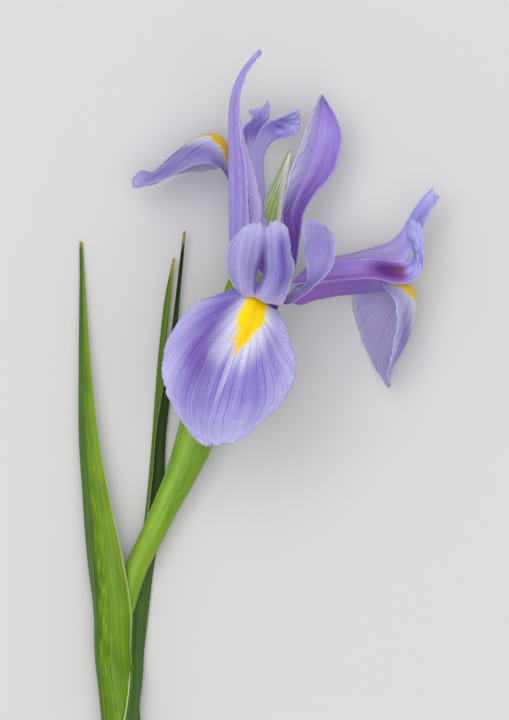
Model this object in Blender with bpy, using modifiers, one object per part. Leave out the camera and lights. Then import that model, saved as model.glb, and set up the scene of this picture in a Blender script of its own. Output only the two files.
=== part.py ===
"""Cut blue iris lying on a table: one open flower, its spathe, the stem and three leaves.

Every shape is set out in millimetres from the heart of the flower, the point where the
petals meet their tube, with +Y towards the flower's end of the stem and +Z up. A single
empty then puts the middle of the whole cut flower's footprint on the origin.
"""
import math

import bmesh
import bpy
from mathutils import Vector

MM = 0.001

# Walls, in millimetres.
PETAL_WALL = 0.6
LEAF_WALL = 0.6
SPATHE_WALL = 0.5

# The flower's own axis, from its tube to its open end, and the way the right fall points.
AXIS = Vector((0.525, 0.671, 0.524)).normalized()
RADIAL = Vector((0.838, -0.296, -0.458)).normalized()
ACROSS = AXIS.cross(RADIAL)

TUBE_RADIUS = 2.4
TUBE_LENGTH = 4.0
RIM_LIFT = 2.5
COLUMN_RADIUS = 1.1
OVARY_RADIUS = 2.4
FILAMENT_RADIUS = 0.45
ANTHER_RADIUS = 0.95

# Grid cells between two stations, and across a petal and a leaf.
STEPS = 2
PETAL_COLUMNS = 8
LEAF_COLUMNS = 10

BLUE = (0.31, 0.25, 0.60)
LILAC = (0.37, 0.31, 0.66)
PALE = (0.42, 0.40, 0.72)
GREEN = (0.12, 0.26, 0.05)
DEEP_GREEN = (0.05, 0.12, 0.03)
LIGHT_GREEN = (0.22, 0.40, 0.08)
CREAM = (0.72, 0.66, 0.48)


def rim(angle, radius, lift=RIM_LIFT):
    """A point on a ring about the flower's axis; the right fall is at 0 degrees."""
    turn = math.radians(angle)
    return AXIS * lift + (RADIAL * math.cos(turn) + ACROSS * math.sin(turn)) * radius


def claw(angle, half_angle, radius, lift=RIM_LIFT):
    """The three points across a petal's narrow foot on the rim of the tube."""
    return tuple(rim(angle + step * half_angle, radius, lift) for step in (-1, 0, 1))


# Each petal is a list of stations from its foot to its tip, and each station is the points
# across it, edge to edge.
FALL_RIGHT = [
    claw(0, -30, 2.9),
    ((12.0, -1.2, -7.2), (12.5, -0.8, -3.2), (13.0, 3.0, 1.8)),
    ((23.0, 2.6, -10.0), (24.0, 1.6, -5.6), (24.0, 5.0, 0.8)),
    ((29.0, 3.2, -13.5), (34.0, 2.8, -7.6), (31.0, 5.9, -0.2)),
    ((25.4, 2.2, -18.0), (40.6, 3.9, -8.2), (33.2, 3.0, 3.6)),
    ((24.0, -1.5, -20.4), (42.6, 0.0, -8.6), (36.4, -1.0, 7.2)),
    ((24.8, -6.2, -21.6), (42.0, -5.6, -9.0), (37.0, -6.2, 8.0)),
    ((26.6, -11.5, -21.4), (40.6, -11.2, -9.2), (36.6, -11.5, 7.0)),
    ((28.6, -16.5, -20.0), (38.4, -16.3, -9.4), (35.7, -16.5, 5.0)),
    ((30.5, -20.8, -17.0), (36.2, -20.2, -9.6), (34.6, -20.5, 1.0)),
    ((32.7, -23.8, -13.6), (35.0, -24.2, -10.2), (34.4, -23.6, -6.0)),
    ((34.0, -26.6, -11.8), (34.6, -27.0, -10.5), (35.0, -26.6, -9.4)),
]
FALL_LEFT = [
    claw(120, -30, 2.9)[::-1],
    ((-2.8, 13.6, -6.8), (-5.8, 14.0, -4.4), (-7.0, 13.4, -1.6)),
    ((-5.8, 27.5, -10.4), (-9.0, 27.5, -6.8), (-11.4, 26.5, -2.5)),
    ((-10.5, 37.0, -14.6), (-12.4, 40.0, -7.0), (-13.4, 35.0, 0.2)),
    ((-14.2, 39.8, -18.6), (-14.6, 47.2, -6.4), (-16.2, 39.3, 5.0)),
    ((-19.0, 38.6, -20.6), (-19.0, 49.3, -5.6), (-20.4, 40.7, 7.4)),
    ((-25.0, 38.2, -21.6), (-25.0, 46.7, -5.4), (-25.6, 38.9, 7.6)),
    ((-30.5, 37.0, -20.0), (-31.0, 42.2, -6.0), (-31.0, 36.6, 6.0)),
    ((-35.0, 35.2, -16.0), (-36.0, 37.8, -6.6), (-36.0, 34.7, 2.6)),
    ((-39.4, 33.7, -11.6), (-40.0, 36.8, -7.0), (-39.9, 33.4, -1.8)),
    ((-42.0, 33.4, -9.4), (-42.4, 34.4, -7.2), (-42.3, 33.7, -5.0)),
]
FALL_FRONT = [
    (rim(-150, 2.9), rim(-135, 2.9), rim(-120, 2.9), rim(-105, 2.9), rim(-90, 2.9)),
    ((-6.4, 0.2, 13.0), (-4.6, -1.6, 14.0), (-2.6, -2.7, 14.4), (-0.4, -3.5, 14.0),
     (1.4, -3.6, 13.0)),
    ((-9.4, 1.4, 27.5), (-7.2, -0.8, 28.4), (-4.7, -2.2, 28.6), (-2.0, -3.5, 28.4),
     (0.6, -4.4, 27.5)),
    ((-11.0, 2.2, 36.0), (-8.6, 0.6, 37.8), (-6.0, -1.2, 38.6), (-3.4, -2.7, 38.0),
     (0.4, -4.2, 36.6)),
    ((-13.6, 1.8, 38.0), (-9.8, 0.0, 41.0), (-6.3, -2.4, 42.0), (-2.8, -4.2, 41.2),
     (1.6, -4.4, 39.0)),
    ((-24.0, -2.6, 36.8), (-16.5, -4.5, 40.2), (-8.2, -8.0, 43.6), (-2.0, -8.6, 43.0),
     (3.8, -9.0, 40.6)),
    ((-31.5, -12.5, 35.6), (-22.0, -13.5, 39.2), (-11.0, -15.0, 44.6), (-2.5, -14.5, 44.0),
     (6.0, -16.0, 41.0)),
    ((-33.1, -21.5, 35.6), (-23.5, -22.0, 39.2), (-14.0, -23.0, 44.8), (-4.0, -22.0, 44.0),
     (6.8, -22.4, 41.0)),
    ((-31.0, -30.0, 36.0), (-24.0, -30.5, 39.6), (-16.8, -31.0, 43.6), (-6.5, -29.8, 43.2),
     (4.0, -29.5, 40.4)),
    ((-27.2, -37.0, 36.6), (-22.8, -38.0, 38.8), (-18.6, -38.4, 41.6), (-10.0, -37.0, 41.2),
     (-3.5, -37.2, 39.0)),
    ((-23.4, -42.0, 37.0), (-21.0, -43.8, 38.0), (-18.0, -44.4, 39.0), (-13.5, -43.8, 38.8),
     (-9.0, -41.9, 38.0)),
]
STANDARD_LEFT = [
    claw(180, -13, 2.3, 3.2),
    ((-4.8, 2.0, 5.6), (-6.6, 3.0, 3.4), (-5.4, 4.8, 2.4)),
    ((-8.4, 6.0, 10.4), (-11.8, 6.2, 5.6), (-7.0, 9.0, 3.8)),
    ((-7.4, 16.0, 16.0), (-13.0, 16.0, 7.6), (-5.0, 18.5, 3.4)),
    ((-7.5, 27.0, 19.0), (-13.0, 27.0, 9.2), (-3.2, 27.5, 3.0)),
    ((-8.0, 38.0, 20.4), (-13.2, 38.0, 11.0), (-5.8, 38.5, 4.6)),
    ((-9.4, 49.0, 21.0), (-13.3, 49.0, 13.0), (-9.2, 50.0, 7.6)),
    ((-9.8, 58.5, 21.0), (-12.8, 58.8, 15.2), (-9.7, 59.0, 10.8)),
    ((-8.0, 66.3, 20.6), (-9.8, 66.8, 17.6), (-8.1, 66.6, 15.0)),
    ((-3.2, 73.6, 20.6), (-4.0, 74.1, 20.0), (-3.1, 73.2, 19.2)),
]
STANDARD_BACK = [
    claw(60, 13, 2.3, 3.2),
    ((4.0, 8.2, -2.6), (5.0, 8.4, -4.2), (6.2, 7.6, -3.2)),
    ((4.8, 17.0, -3.2), (6.6, 17.5, -5.2), (8.0, 17.4, -3.2)),
    ((2.7, 24.0, -1.6), (5.8, 25.0, -6.0), (9.2, 24.6, -3.2)),
    ((3.5, 30.5, -1.0), (7.8, 31.0, -6.6), (12.8, 31.0, -3.2)),
    ((5.3, 37.5, -0.6), (11.4, 38.0, -7.0), (18.3, 37.8, -3.6)),
    ((7.8, 45.4, -0.2), (14.0, 46.0, -7.0), (20.9, 47.2, -3.4)),
    ((11.0, 52.4, 0.2), (14.8, 53.0, -5.6), (19.8, 52.8, -3.2)),
    ((12.8, 58.2, 1.0), (15.0, 58.6, -3.4), (17.2, 57.4, -2.2)),
    ((14.1, 60.8, 1.0), (14.7, 61.2, 0.0), (15.3, 60.4, -0.6)),
]
STANDARD_FRONT = [
    claw(-60, 13, 2.3, 3.2),
    ((3.0, -1.6, 5.6), (3.6, -0.6, 5.6), (4.2, 0.5, 5.4)),
    ((5.4, -1.7, 14.0), (6.0, 0.4, 12.6), (6.6, 2.6, 13.0)),
    ((12.0, 2.7, 22.0), (10.6, 4.0, 18.0), (9.3, 4.2, 19.0)),
    ((16.8, 8.0, 25.0), (13.2, 8.0, 20.4), (9.9, 8.4, 22.6)),
    ((18.8, 14.4, 27.2), (13.6, 14.0, 22.6), (8.9, 13.6, 26.0)),
    ((17.7, 18.8, 29.0), (13.2, 18.8, 26.0), (8.7, 18.4, 29.0)),
    ((15.0, 21.4, 30.4), (12.2, 22.7, 29.4), (9.3, 21.9, 30.6)),
]

# A style arm has six points across each station: edge, middle and keel of one half, then
# keel, middle and edge of the other. Past the split the halves part as two crest lobes.
ARM_RIGHT_SPLIT = 5
ARM_RIGHT = [
    ((6.4, 5.0, 1.6), (6.2, 5.2, 2.4), (6.0, 5.2, 3.2), (6.0, 5.2, 3.2), (6.0, 4.7, 4.0),
     (6.2, 4.2, 4.6)),
    ((12.0, 10.6, -1.8), (12.0, 10.2, 0.4), (12.0, 9.2, 2.0), (12.0, 9.2, 2.0),
     (11.8, 7.3, 4.0), (11.5, 5.6, 5.0)),
    ((22.0, 13.0, -3.6), (22.0, 12.2, -1.0), (22.0, 10.9, 1.0), (22.0, 10.9, 1.0),
     (21.8, 8.4, 3.4), (21.5, 6.0, 4.8)),
    ((30.0, 15.2, -5.6), (30.0, 13.6, -2.6), (30.0, 11.6, -0.4), (30.0, 11.6, -0.4),
     (30.0, 9.0, 2.4), (30.0, 6.6, 4.0)),
    ((35.5, 17.3, -7.0), (36.0, 14.2, -4.0), (36.4, 10.9, -1.4), (36.4, 10.9, -1.4),
     (36.6, 7.4, 1.8), (36.5, 4.2, 3.5)),
    ((38.9, 20.8, -7.6), (39.8, 16.4, -4.6), (41.0, 12.0, -1.8), (41.0, 12.0, -1.8),
     (41.4, 8.4, 1.8), (41.3, 4.6, 3.2)),
    ((41.2, 24.2, -7.9), (42.8, 21.3, -6.2), (44.6, 18.3, -3.4), (40.6, 15.6, -0.4),
     (42.4, 12.2, 3.0), (44.0, 8.2, 3.8)),
    ((44.0, 29.2, -8.0), (45.6, 27.0, -6.6), (47.2, 24.6, -4.0), (40.7, 19.6, 0.4),
     (43.0, 17.2, 3.0), (45.0, 14.6, 3.2)),
    ((48.2, 33.0, -7.2), (49.2, 31.4, -6.2), (50.2, 29.9, -4.8), (41.6, 24.2, 1.0),
     (43.6, 23.6, 2.4), (45.4, 21.6, 2.0)),
]
ARM_LEFT_SPLIT = 5
ARM_LEFT = [
    ((4.6, 6.9, 2.4), (4.0, 7.0, 3.2), (3.2, 6.9, 3.9), (3.2, 6.9, 3.9), (2.5, 6.6, 4.3),
     (1.9, 6.1, 4.6)),
    ((3.0, 13.6, -1.2), (2.2, 13.6, 0.8), (1.0, 13.4, 2.0), (1.0, 13.4, 2.0),
     (-0.4, 13.0, 2.9), (-1.5, 12.5, 3.2)),
    ((-2.4, 23.4, -6.0), (-2.8, 24.6, -3.6), (-3.8, 25.2, -2.0), (-3.8, 25.2, -2.0),
     (-5.3, 25.0, -0.4), (-6.6, 24.5, 0.6)),
    ((-2.6, 33.0, -8.2), (-3.4, 34.6, -5.6), (-5.0, 35.6, -3.8), (-5.0, 35.6, -3.8),
     (-7.0, 35.6, -1.8), (-8.8, 35.0, -0.6)),
    ((-2.8, 42.0, -8.8), (-3.8, 43.6, -6.2), (-5.6, 45.2, -3.8), (-5.6, 45.2, -3.8),
     (-7.8, 44.8, -1.8), (-9.4, 44.0, -0.8)),
    ((-0.2, 47.0, -9.2), (-1.6, 49.6, -7.0), (-3.3, 51.4, -3.4), (-3.3, 51.4, -3.4),
     (-6.4, 51.6, -1.4), (-9.0, 50.6, -0.4)),
    ((4.2, 48.6, -9.2), (2.6, 51.6, -8.6), (1.6, 54.4, -3.6), (-1.5, 54.4, -2.0),
     (-5.2, 55.0, -0.4), (-8.8, 54.2, 0.6)),
    ((7.4, 49.2, -8.2), (8.8, 53.4, -6.4), (7.6, 57.0, -2.2), (-1.5, 58.6, 0.2),
     (-4.6, 57.7, 1.2), (-8.0, 56.6, 1.8)),
]
ARM_FRONT_SPLIT = 4
ARM_FRONT = [
    ((2.2, 4.9, 6.2), (2.7, 4.7, 6.2), (3.3, 4.4, 6.2), (3.3, 4.4, 6.2), (3.9, 4.0, 6.0),
     (4.4, 3.6, 5.8)),
    ((-2.8, 3.8, 13.4), (-1.2, 2.9, 14.6), (0.6, 2.0, 14.8), (0.6, 2.0, 14.8),
     (2.0, 0.8, 14.6), (3.0, -0.4, 13.8)),
    ((-6.4, 5.0, 27.4), (-4.2, 4.4, 28.6), (-1.7, 3.2, 29.0), (-1.7, 3.2, 29.0),
     (0.4, 1.4, 28.8), (2.1, -0.6, 28.0)),
    ((-9.6, 4.6, 36.8), (-7.2, 4.2, 39.0), (-4.2, 3.2, 40.2), (-4.2, 3.2, 40.2),
     (-1.2, 1.2, 40.0), (1.8, -1.4, 38.6)),
    ((-10.2, 1.7, 42.2), (-8.0, 0.4, 44.4), (-5.6, 1.0, 44.4), (-5.6, 1.0, 44.4),
     (-2.0, -1.6, 45.0), (3.0, -2.0, 42.8)),
    ((-14.0, 7.5, 44.6), (-9.2, 7.0, 49.0), (-4.4, 7.5, 44.8), (-3.8, 6.4, 45.2),
     (1.4, 6.0, 49.6), (6.1, 8.0, 45.0)),
    ((-13.9, 14.5, 46.6), (-8.6, 14.5, 50.0), (-3.0, 14.8, 46.6), (-2.4, 14.2, 47.0),
     (1.2, 15.0, 50.4), (4.9, 16.0, 47.0)),
    ((-9.4, 19.9, 47.4), (-6.0, 22.8, 48.4), (-3.0, 22.0, 48.0), (-2.4, 21.2, 48.0),
     (0.6, 23.3, 49.0), (4.2, 20.8, 47.6)),
]

# A leaf or spathe valve is a list of stations from its foot to its tip. Each is the point on
# its midline, its flat width, how far it wraps round and which way it faces, in degrees.
LEAF_LEFT = [
    ((-48.5, -175.0, -11.4), 24.2, 330, -30),
    ((-48.5, -150.0, -11.4), 24.2, 330, -30),
    ((-49.4, -127.0, -11.4), 23.0, 270, -33),
    ((-51.2, -108.0, -11.2), 19.8, 203, -35),
    ((-51.5, -94.0, -10.4), 18.0, 150, -35),
    ((-52.0, -80.0, -10.4), 14.5, 110, -30),
    ((-54.0, -60.0, -12.4), 9.6, 80, -25),
    ((-56.1, -40.0, -14.5), 6.6, 70, -22),
    ((-57.0, -20.0, -16.6), 4.0, 60, -20),
    ((-57.6, 0.0, -18.8), 1.9, 50, -15),
    ((-58.1, 17.3, -21.2), 0.5, 40, -10),
]
LEAF_LONG = [
    ((-41.5, -183.0, -12.2), 29.3, 300, 60),
    ((-41.5, -158.0, -12.2), 26.4, 270, 60),
    ((-41.4, -142.0, -12.6), 17.0, 174, 64),
    ((-41.3, -127.0, -13.3), 10.2, 102, 68),
    ((-39.6, -116.0, -14.6), 8.6, 84, 62),
    ((-38.9, -105.0, -17.4), 6.6, 60, 48),
    ((-38.0, -85.0, -19.6), 5.4, 40, 15),
    ((-36.4, -70.0, -20.1), 4.6, 30, 10),
    ((-34.8, -55.0, -20.5), 3.7, 30, 5),
    ((-33.6, -40.0, -20.3), 3.6, 30, 0),
    ((-31.8, -20.0, -19.8), 3.2, 40, 0),
    ((-29.0, 0.0, -19.0), 2.1, 40, 0),
    ((-27.7, 12.0, -18.2), 1.2, 40, 0),
    ((-26.7, 20.3, -17.6), 0.4, 40, 0),
]
LEAF_SHORT = [
    ((-39.7, -190.0, -13.2), 36.1, 300, 75),
    ((-39.7, -170.0, -13.2), 31.9, 265, 75),
    ((-39.4, -152.0, -15.0), 22.2, 180, 90),
    ((-40.4, -138.0, -18.6), 11.0, 90, 130),
    ((-41.2, -125.0, -20.6), 6.4, 60, 155),
    ((-39.8, -105.0, -21.4), 5.0, 25, 178),
    ((-38.0, -85.0, -21.5), 4.4, 20, 180),
    ((-36.8, -65.0, -21.55), 3.8, 20, 180),
    ((-35.3, -45.0, -21.5), 3.0, 20, 180),
    ((-34.4, -30.0, -21.3), 2.6, 20, 180),
    ((-33.3, -15.0, -20.7), 2.3, 30, 180),
    ((-31.7, 0.0, -19.7), 1.9, 30, 180),
    ((-29.8, 12.2, -18.7), 0.4, 30, 180),
]
SPATHE_OUTER = [
    ((-43.0, -89.0, -11.9), 16.6, 300, 0),
    ((-41.2, -82.0, -11.7), 16.8, 300, 0),
    ((-37.1, -72.8, -10.95), 17.0, 290, 0),
    ((-32.5, -63.0, -10.05), 18.3, 280, 0),
    ((-27.4, -52.4, -8.85), 21.0, 265, 0),
    ((-23.4, -42.3, -7.65), 23.2, 240, 0),
    ((-20.5, -32.0, -6.6), 16.0, 150, -6),
    ((-19.8, -22.0, -6.2), 12.0, 130, -30),
    ((-20.6, -13.0, -6.6), 5.0, 80, -50),
    ((-21.6, -7.0, -7.0), 0.6, 40, -60),
]
SPATHE_INNER = [
    ((-38.9, -77.0, -17.1), 13.0, 300, 180),
    ((-37.1, -72.8, -16.8), 13.0, 300, 180),
    ((-32.5, -63.0, -16.6), 14.2, 290, 180),
    ((-27.4, -52.4, -17.0), 17.2, 275, 180),
    ((-23.4, -42.3, -17.7), 18.6, 240, 180),
    ((-18.5, -28.0, -18.2), 16.2, 178, 180),
    ((-13.0, -13.0, -18.6), 16.0, 140, 180),
    ((-8.0, 2.5, -18.3), 15.0, 110, 180),
    ((-3.6, 16.5, -17.8), 11.4, 90, 180),
    ((0.3, 29.0, -17.0), 5.8, 70, 180),
    ((2.9, 37.0, -16.2), 3.2, 60, 180),
    ((5.2, 44.7, -15.0), 0.5, 40, 180),
]

# Round pieces: points along the middle with the radius at each.
STEM = [
    ((-46.4, -215.0, -17.6), 3.5), ((-46.4, -196.0, -16.0), 3.5),
    ((-46.4, -175.0, -15.05), 3.5), ((-46.4, -150.0, -15.05), 3.4),
    ((-46.6, -127.0, -15.1), 3.2), ((-46.0, -108.0, -15.2), 2.9),
    ((-43.8, -92.0, -15.1), 2.4), ((-41.2, -82.0, -14.9), 1.9),
    ((-37.1, -72.8, -14.3), 1.7), ((-32.5, -63.0, -13.8), 1.7),
    ((-27.4, -52.4, -13.4), 1.6),
]
PEDICEL = [
    ((-27.1, -51.7, -13.4), 1.4), ((-22.4, -41.0, -13.2), 1.3),
    ((-17.4, -30.0, -13.2), 1.3), ((-13.2, -20.0, -12.2), 1.4),
    ((-10.4, -13.2, -10.3), 1.6),
]
OVARY_SPAN = (-18.6, -2.4)
OVARY_PROFILE = (1.6, 2.1, OVARY_RADIUS, OVARY_RADIUS, 2.2, 1.9)
COLUMN_SPAN = (2.4, 6.4)
FILAMENT_RIGHT = [(4.6, 2.9, 1.0), (12.0, 4.4, -0.6), (20.0, 6.0, -1.7)]
FILAMENT_LEFT = [(0.9, 3.9, 1.0), (-2.6, 13.5, -1.2), (-5.4, 22.4, -3.8)]
FILAMENT_FRONT = [(1.0, 1.3, 3.8), (-1.2, -0.3, 13.0), (-2.4, 0.1, 22.0)]
ANTHER_RIGHT = [(20.6, 6.1, -1.8), (26.0, 6.9, -2.6), (31.0, 7.4, -3.4)]
ANTHER_LEFT = [(-5.7, 23.2, -4.0), (-7.2, 28.6, -4.7), (-8.4, 34.0, -5.0)]
ANTHER_FRONT = [(-2.5, 0.2, 22.8), (-3.2, 0.5, 28.0), (-3.9, 0.9, 33.0)]


def clear_scene():
    """Removes whatever the file opened with."""
    for item in list(bpy.data.objects):
        bpy.data.objects.remove(item, do_unlink=True)


def finish(name, colour, roughness):
    """One plain material with the piece's colour."""
    material = bpy.data.materials.new(name)
    material.use_nodes = True
    shader = material.node_tree.nodes["Principled BSDF"]
    shader.inputs["Base Color"].default_value = (*colour, 1.0)
    shader.inputs["Roughness"].default_value = roughness
    shader.inputs["Metallic"].default_value = 0.0
    return material


def along(values, place):
    """A smooth curve through values (vectors or numbers), read at place from 0 to 1."""
    last = len(values) - 1
    at = min(max(place, 0.0), 1.0) * last
    index = min(int(at), last - 1)
    step = at - index
    here, there = values[index], values[index + 1]
    before = values[index - 1] if index > 0 else here * 2 - there
    after = values[index + 2] if index + 2 <= last else there * 2 - here
    return (here * 2 + (there - before) * step
            + (before * 2 - here * 5 + there * 4 - after) * step ** 2
            + (here * 3 - before - there * 3 + after) * step ** 3) * 0.5


def petal_surface(stations):
    """A point on a petal at u across and v along, both from 0 to 1."""
    rails = [[Vector(point) for point in rail] for rail in zip(*stations)]

    def surface(u, v, _side):
        return along([along(rail, v) for rail in rails], u)
    return surface


def arm_surface(stations, split):
    """A point on a style arm, whose two halves share the keel as far as the split."""
    rails = [[Vector(point) for point in rail] for rail in zip(*stations)]
    parting = split / (len(stations) - 1)

    def surface(u, v, side):
        row = [along(rail, v) for rail in rails]
        if v <= parting:
            row[3] = row[2]
        return along(row[:3], u * 2) if side < 0 else along(row[3:], u * 2 - 1)
    return surface


def strip_surface(stations):
    """A point on a leaf or valve whose sections are arcs about its midline."""
    middles = [Vector(station[0]) for station in stations]
    widths, wraps, turns = ([station[i] for station in stations] for i in (1, 2, 3))

    def surface(u, v, _side):
        here = along(middles, v)
        ahead = (along(middles, min(v + 0.01, 1.0)) - along(middles, max(v - 0.01, 0.0)))
        ahead.normalize()
        side = ahead.cross(Vector((0, 0, 1))).normalized()
        up = side.cross(ahead)
        turn = math.radians(along(turns, v))
        facing = up * math.cos(turn) + side * math.sin(turn)
        beside = side * math.cos(turn) - up * math.sin(turn)
        wrap = math.radians(max(along(wraps, v), 5.0))
        radius = max(along(widths, v), 0.3) / wrap
        angle = (u - 0.5) * wrap
        return here + beside * (radius * math.sin(angle)) + facing * (
            radius * (math.cos(angle) - 1.0))
    return surface


def sheet(name, surface, wall, material, rows, columns, parting=None):
    """A closed thin solid: a grid laid on the surface, then given its wall."""
    mesh = bpy.data.meshes.new(name)
    shape = bmesh.new()
    bmesh.ops.create_grid(shape, x_segments=columns, y_segments=rows, size=0.5)
    for vert in shape.verts:
        vert.co += Vector((0.5, 0.5, 0.0))
    if parting is not None:
        seam = [edge for edge in shape.edges
                if all(abs(vert.co.x - 0.5) < 1e-4 for vert in edge.verts)
                and min(vert.co.y for vert in edge.verts) > parting - 1e-4]
        bmesh.ops.split_edges(shape, edges=seam)
    places = {}
    for vert in shape.verts:
        middle = sum(face.calc_center_median().x for face in vert.link_faces)
        side = -1 if middle / len(vert.link_faces) < 0.5 else 1
        places[vert] = surface(vert.co.x, vert.co.y, side) * MM
    for vert, place in places.items():
        vert.co = place
    shape.to_mesh(mesh)
    shape.free()
    mesh.shade_smooth()
    item = bpy.data.objects.new(name, mesh)
    mesh.materials.append(material)
    thickness = item.modifiers.new("Wall", "SOLIDIFY")
    thickness.thickness = wall * MM
    thickness.offset = 0.0
    return item


def rod(name, points, radii, material, sides=2):
    """A tube along a smooth curve through the points, with closed ends."""
    curve = bpy.data.curves.new(name, "CURVE")
    curve.dimensions = "3D"
    curve.bevel_depth = MM
    curve.bevel_resolution = sides
    curve.use_fill_caps = True
    spline = curve.splines.new("POLY")
    count = 3 * len(points)
    spline.points.add(count - 1)
    vectors = [Vector(point) for point in points]
    for index, point in enumerate(spline.points):
        place = index / (count - 1)
        point.co = (*(along(vectors, place) * MM), 1.0)
        point.radius = along(radii, place)
    curve.materials.append(material)
    return bpy.data.objects.new(name, curve)


def build():
    """Makes every piece and gathers them under one empty."""
    clear_scene()
    home = bpy.data.collections.new("iris_flower")
    bpy.context.scene.collection.children.link(home)
    blue = finish("petal_blue", BLUE, 0.55)
    lilac = finish("petal_lilac", LILAC, 0.55)
    pale = finish("crest_pale", PALE, 0.55)
    green = finish("stem_green", GREEN, 0.45)
    deep = finish("leaf_green", DEEP_GREEN, 0.45)
    light = finish("spathe_green", LIGHT_GREEN, 0.5)
    cream = finish("pollen_cream", CREAM, 0.8)

    pieces = []
    for name, stations, material in (("fall_right", FALL_RIGHT, blue),
                                     ("fall_left", FALL_LEFT, blue),
                                     ("fall_front", FALL_FRONT, blue),
                                     ("standard_left", STANDARD_LEFT, lilac),
                                     ("standard_back", STANDARD_BACK, lilac),
                                     ("standard_front", STANDARD_FRONT, lilac)):
        pieces.append(sheet(name, petal_surface(stations), PETAL_WALL, material,
                            STEPS * (len(stations) - 1), PETAL_COLUMNS))
    for name, stations, split in (("style_arm_right", ARM_RIGHT, ARM_RIGHT_SPLIT),
                                  ("style_arm_left", ARM_LEFT, ARM_LEFT_SPLIT),
                                  ("style_arm_front", ARM_FRONT, ARM_FRONT_SPLIT)):
        spans = len(stations) - 1
        pieces.append(sheet(name, arm_surface(stations, split), PETAL_WALL, pale,
                            STEPS * spans, PETAL_COLUMNS, split / spans))
    for name, stations, wall, material in (
            ("leaf_left", LEAF_LEFT, LEAF_WALL, green),
            ("leaf_long", LEAF_LONG, LEAF_WALL, deep),
            ("leaf_short", LEAF_SHORT, LEAF_WALL, deep),
            ("spathe_outer", SPATHE_OUTER, SPATHE_WALL, light),
            ("spathe_inner", SPATHE_INNER, SPATHE_WALL, light)):
        pieces.append(sheet(name, strip_surface(stations), wall, material,
                            STEPS * (len(stations) - 1), LEAF_COLUMNS))

    pieces.append(rod("stem", *zip(*STEM), green, sides=3))
    pieces.append(rod("pedicel", *zip(*PEDICEL), light))
    ovary = [AXIS * (OVARY_SPAN[0] + (OVARY_SPAN[1] - OVARY_SPAN[0]) * step / 5)
             for step in range(6)]
    pieces.append(rod("ovary", ovary, OVARY_PROFILE, light))
    half = TUBE_LENGTH / 2
    pieces.append(rod("perianth_tube", (AXIS * -half, AXIS * half),
                      (TUBE_RADIUS, TUBE_RADIUS), lilac, sides=3))
    pieces.append(rod("style_column", (AXIS * COLUMN_SPAN[0], AXIS * COLUMN_SPAN[1]),
                      (COLUMN_RADIUS, COLUMN_RADIUS), pale))
    for side, filament, anther in (("right", FILAMENT_RIGHT, ANTHER_RIGHT),
                                   ("left", FILAMENT_LEFT, ANTHER_LEFT),
                                   ("front", FILAMENT_FRONT, ANTHER_FRONT)):
        pieces.append(rod(f"filament_{side}", filament, (FILAMENT_RADIUS,) * 3, pale))
        pieces.append(rod(f"anther_{side}", anther,
                          (ANTHER_RADIUS * 0.7, ANTHER_RADIUS, ANTHER_RADIUS * 0.6), cream))

    ground = bpy.data.objects.new("cut_flower", None)
    home.objects.link(ground)
    for piece in pieces:
        home.objects.link(piece)
        piece.parent = ground
    settle(ground, pieces)


def settle(ground, pieces):
    """Puts the middle of the footprint on the origin, with the lowest point at z = 0."""
    bpy.context.view_layer.update()
    graph = bpy.context.evaluated_depsgraph_get()
    corners = []
    for piece in pieces:
        seen = piece.evaluated_get(graph)
        corners += [seen.matrix_world @ vert.co for vert in seen.to_mesh().vertices]
        seen.to_mesh_clear()
    low = Vector([min(corner[axis] for corner in corners) for axis in range(3)])
    high = Vector([max(corner[axis] for corner in corners) for axis in range(3)])
    ground.location = (-(low.x + high.x) / 2, -(low.y + high.y) / 2, -low.z)


if __name__ == "__main__":
    build()
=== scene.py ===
"""A cut blue iris lying on a pale table, seen from straight above.

The shapes are set out in millimetres from the heart of the flower, the middle of the tube
where the petals meet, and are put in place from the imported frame.
"""

import logging
import math
from dataclasses import dataclass, field
from enum import Enum
from typing import Callable, Optional

import bmesh
import bpy
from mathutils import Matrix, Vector, noise


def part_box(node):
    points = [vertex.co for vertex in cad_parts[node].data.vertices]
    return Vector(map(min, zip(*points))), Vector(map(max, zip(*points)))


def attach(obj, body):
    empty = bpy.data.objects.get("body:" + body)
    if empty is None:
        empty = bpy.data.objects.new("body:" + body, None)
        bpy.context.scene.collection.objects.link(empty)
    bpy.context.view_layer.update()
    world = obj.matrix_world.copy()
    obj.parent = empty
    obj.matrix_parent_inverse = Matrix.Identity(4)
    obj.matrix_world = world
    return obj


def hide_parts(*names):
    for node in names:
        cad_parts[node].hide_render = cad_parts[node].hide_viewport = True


LOG = logging.getLogger("iris")
MM = 0.001
GRAIN_DENSITY = 9.0e6
GRAIN_RADIUS = 0.00009
Colour = tuple[float, float, float]
Tint = tuple[float, float, float, float]
Station = tuple[tuple[float, float, float], ...]
Place = Callable[[float, float, int], Vector]
Paint = Callable[[float, float, int], Tint]
Item = bpy.types.Object
Material = bpy.types.Material
Socket = bpy.types.NodeSocket
Tree = bpy.types.NodeTree

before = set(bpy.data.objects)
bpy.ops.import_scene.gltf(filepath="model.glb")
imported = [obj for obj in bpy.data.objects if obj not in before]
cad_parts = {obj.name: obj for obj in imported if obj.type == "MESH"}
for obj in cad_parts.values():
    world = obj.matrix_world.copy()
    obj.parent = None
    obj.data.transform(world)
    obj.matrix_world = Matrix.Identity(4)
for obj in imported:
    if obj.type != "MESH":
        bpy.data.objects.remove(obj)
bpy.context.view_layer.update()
HEART = (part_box("perianth_tube")[0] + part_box("perianth_tube")[1]) / 2

# The flower's own axis, and the ring about it that the petals stand on.
AXIS = Vector((0.525, 0.671, 0.524)).normalized()
RADIAL = Vector((0.838, -0.296, -0.458)).normalized()
ACROSS = AXIS.cross(RADIAL)


# ---------------------------------------------------------------- numbers and colours

def srgb(red: int, green: int, blue: int) -> Colour:
    """Turns a colour as the eye names it, 0 to 255, into linear light."""
    return tuple((value / 255 / 12.92) if value < 10.3 else ((value / 255 + 0.055) / 1.055) ** 2.4
                 for value in (red, green, blue))


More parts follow.
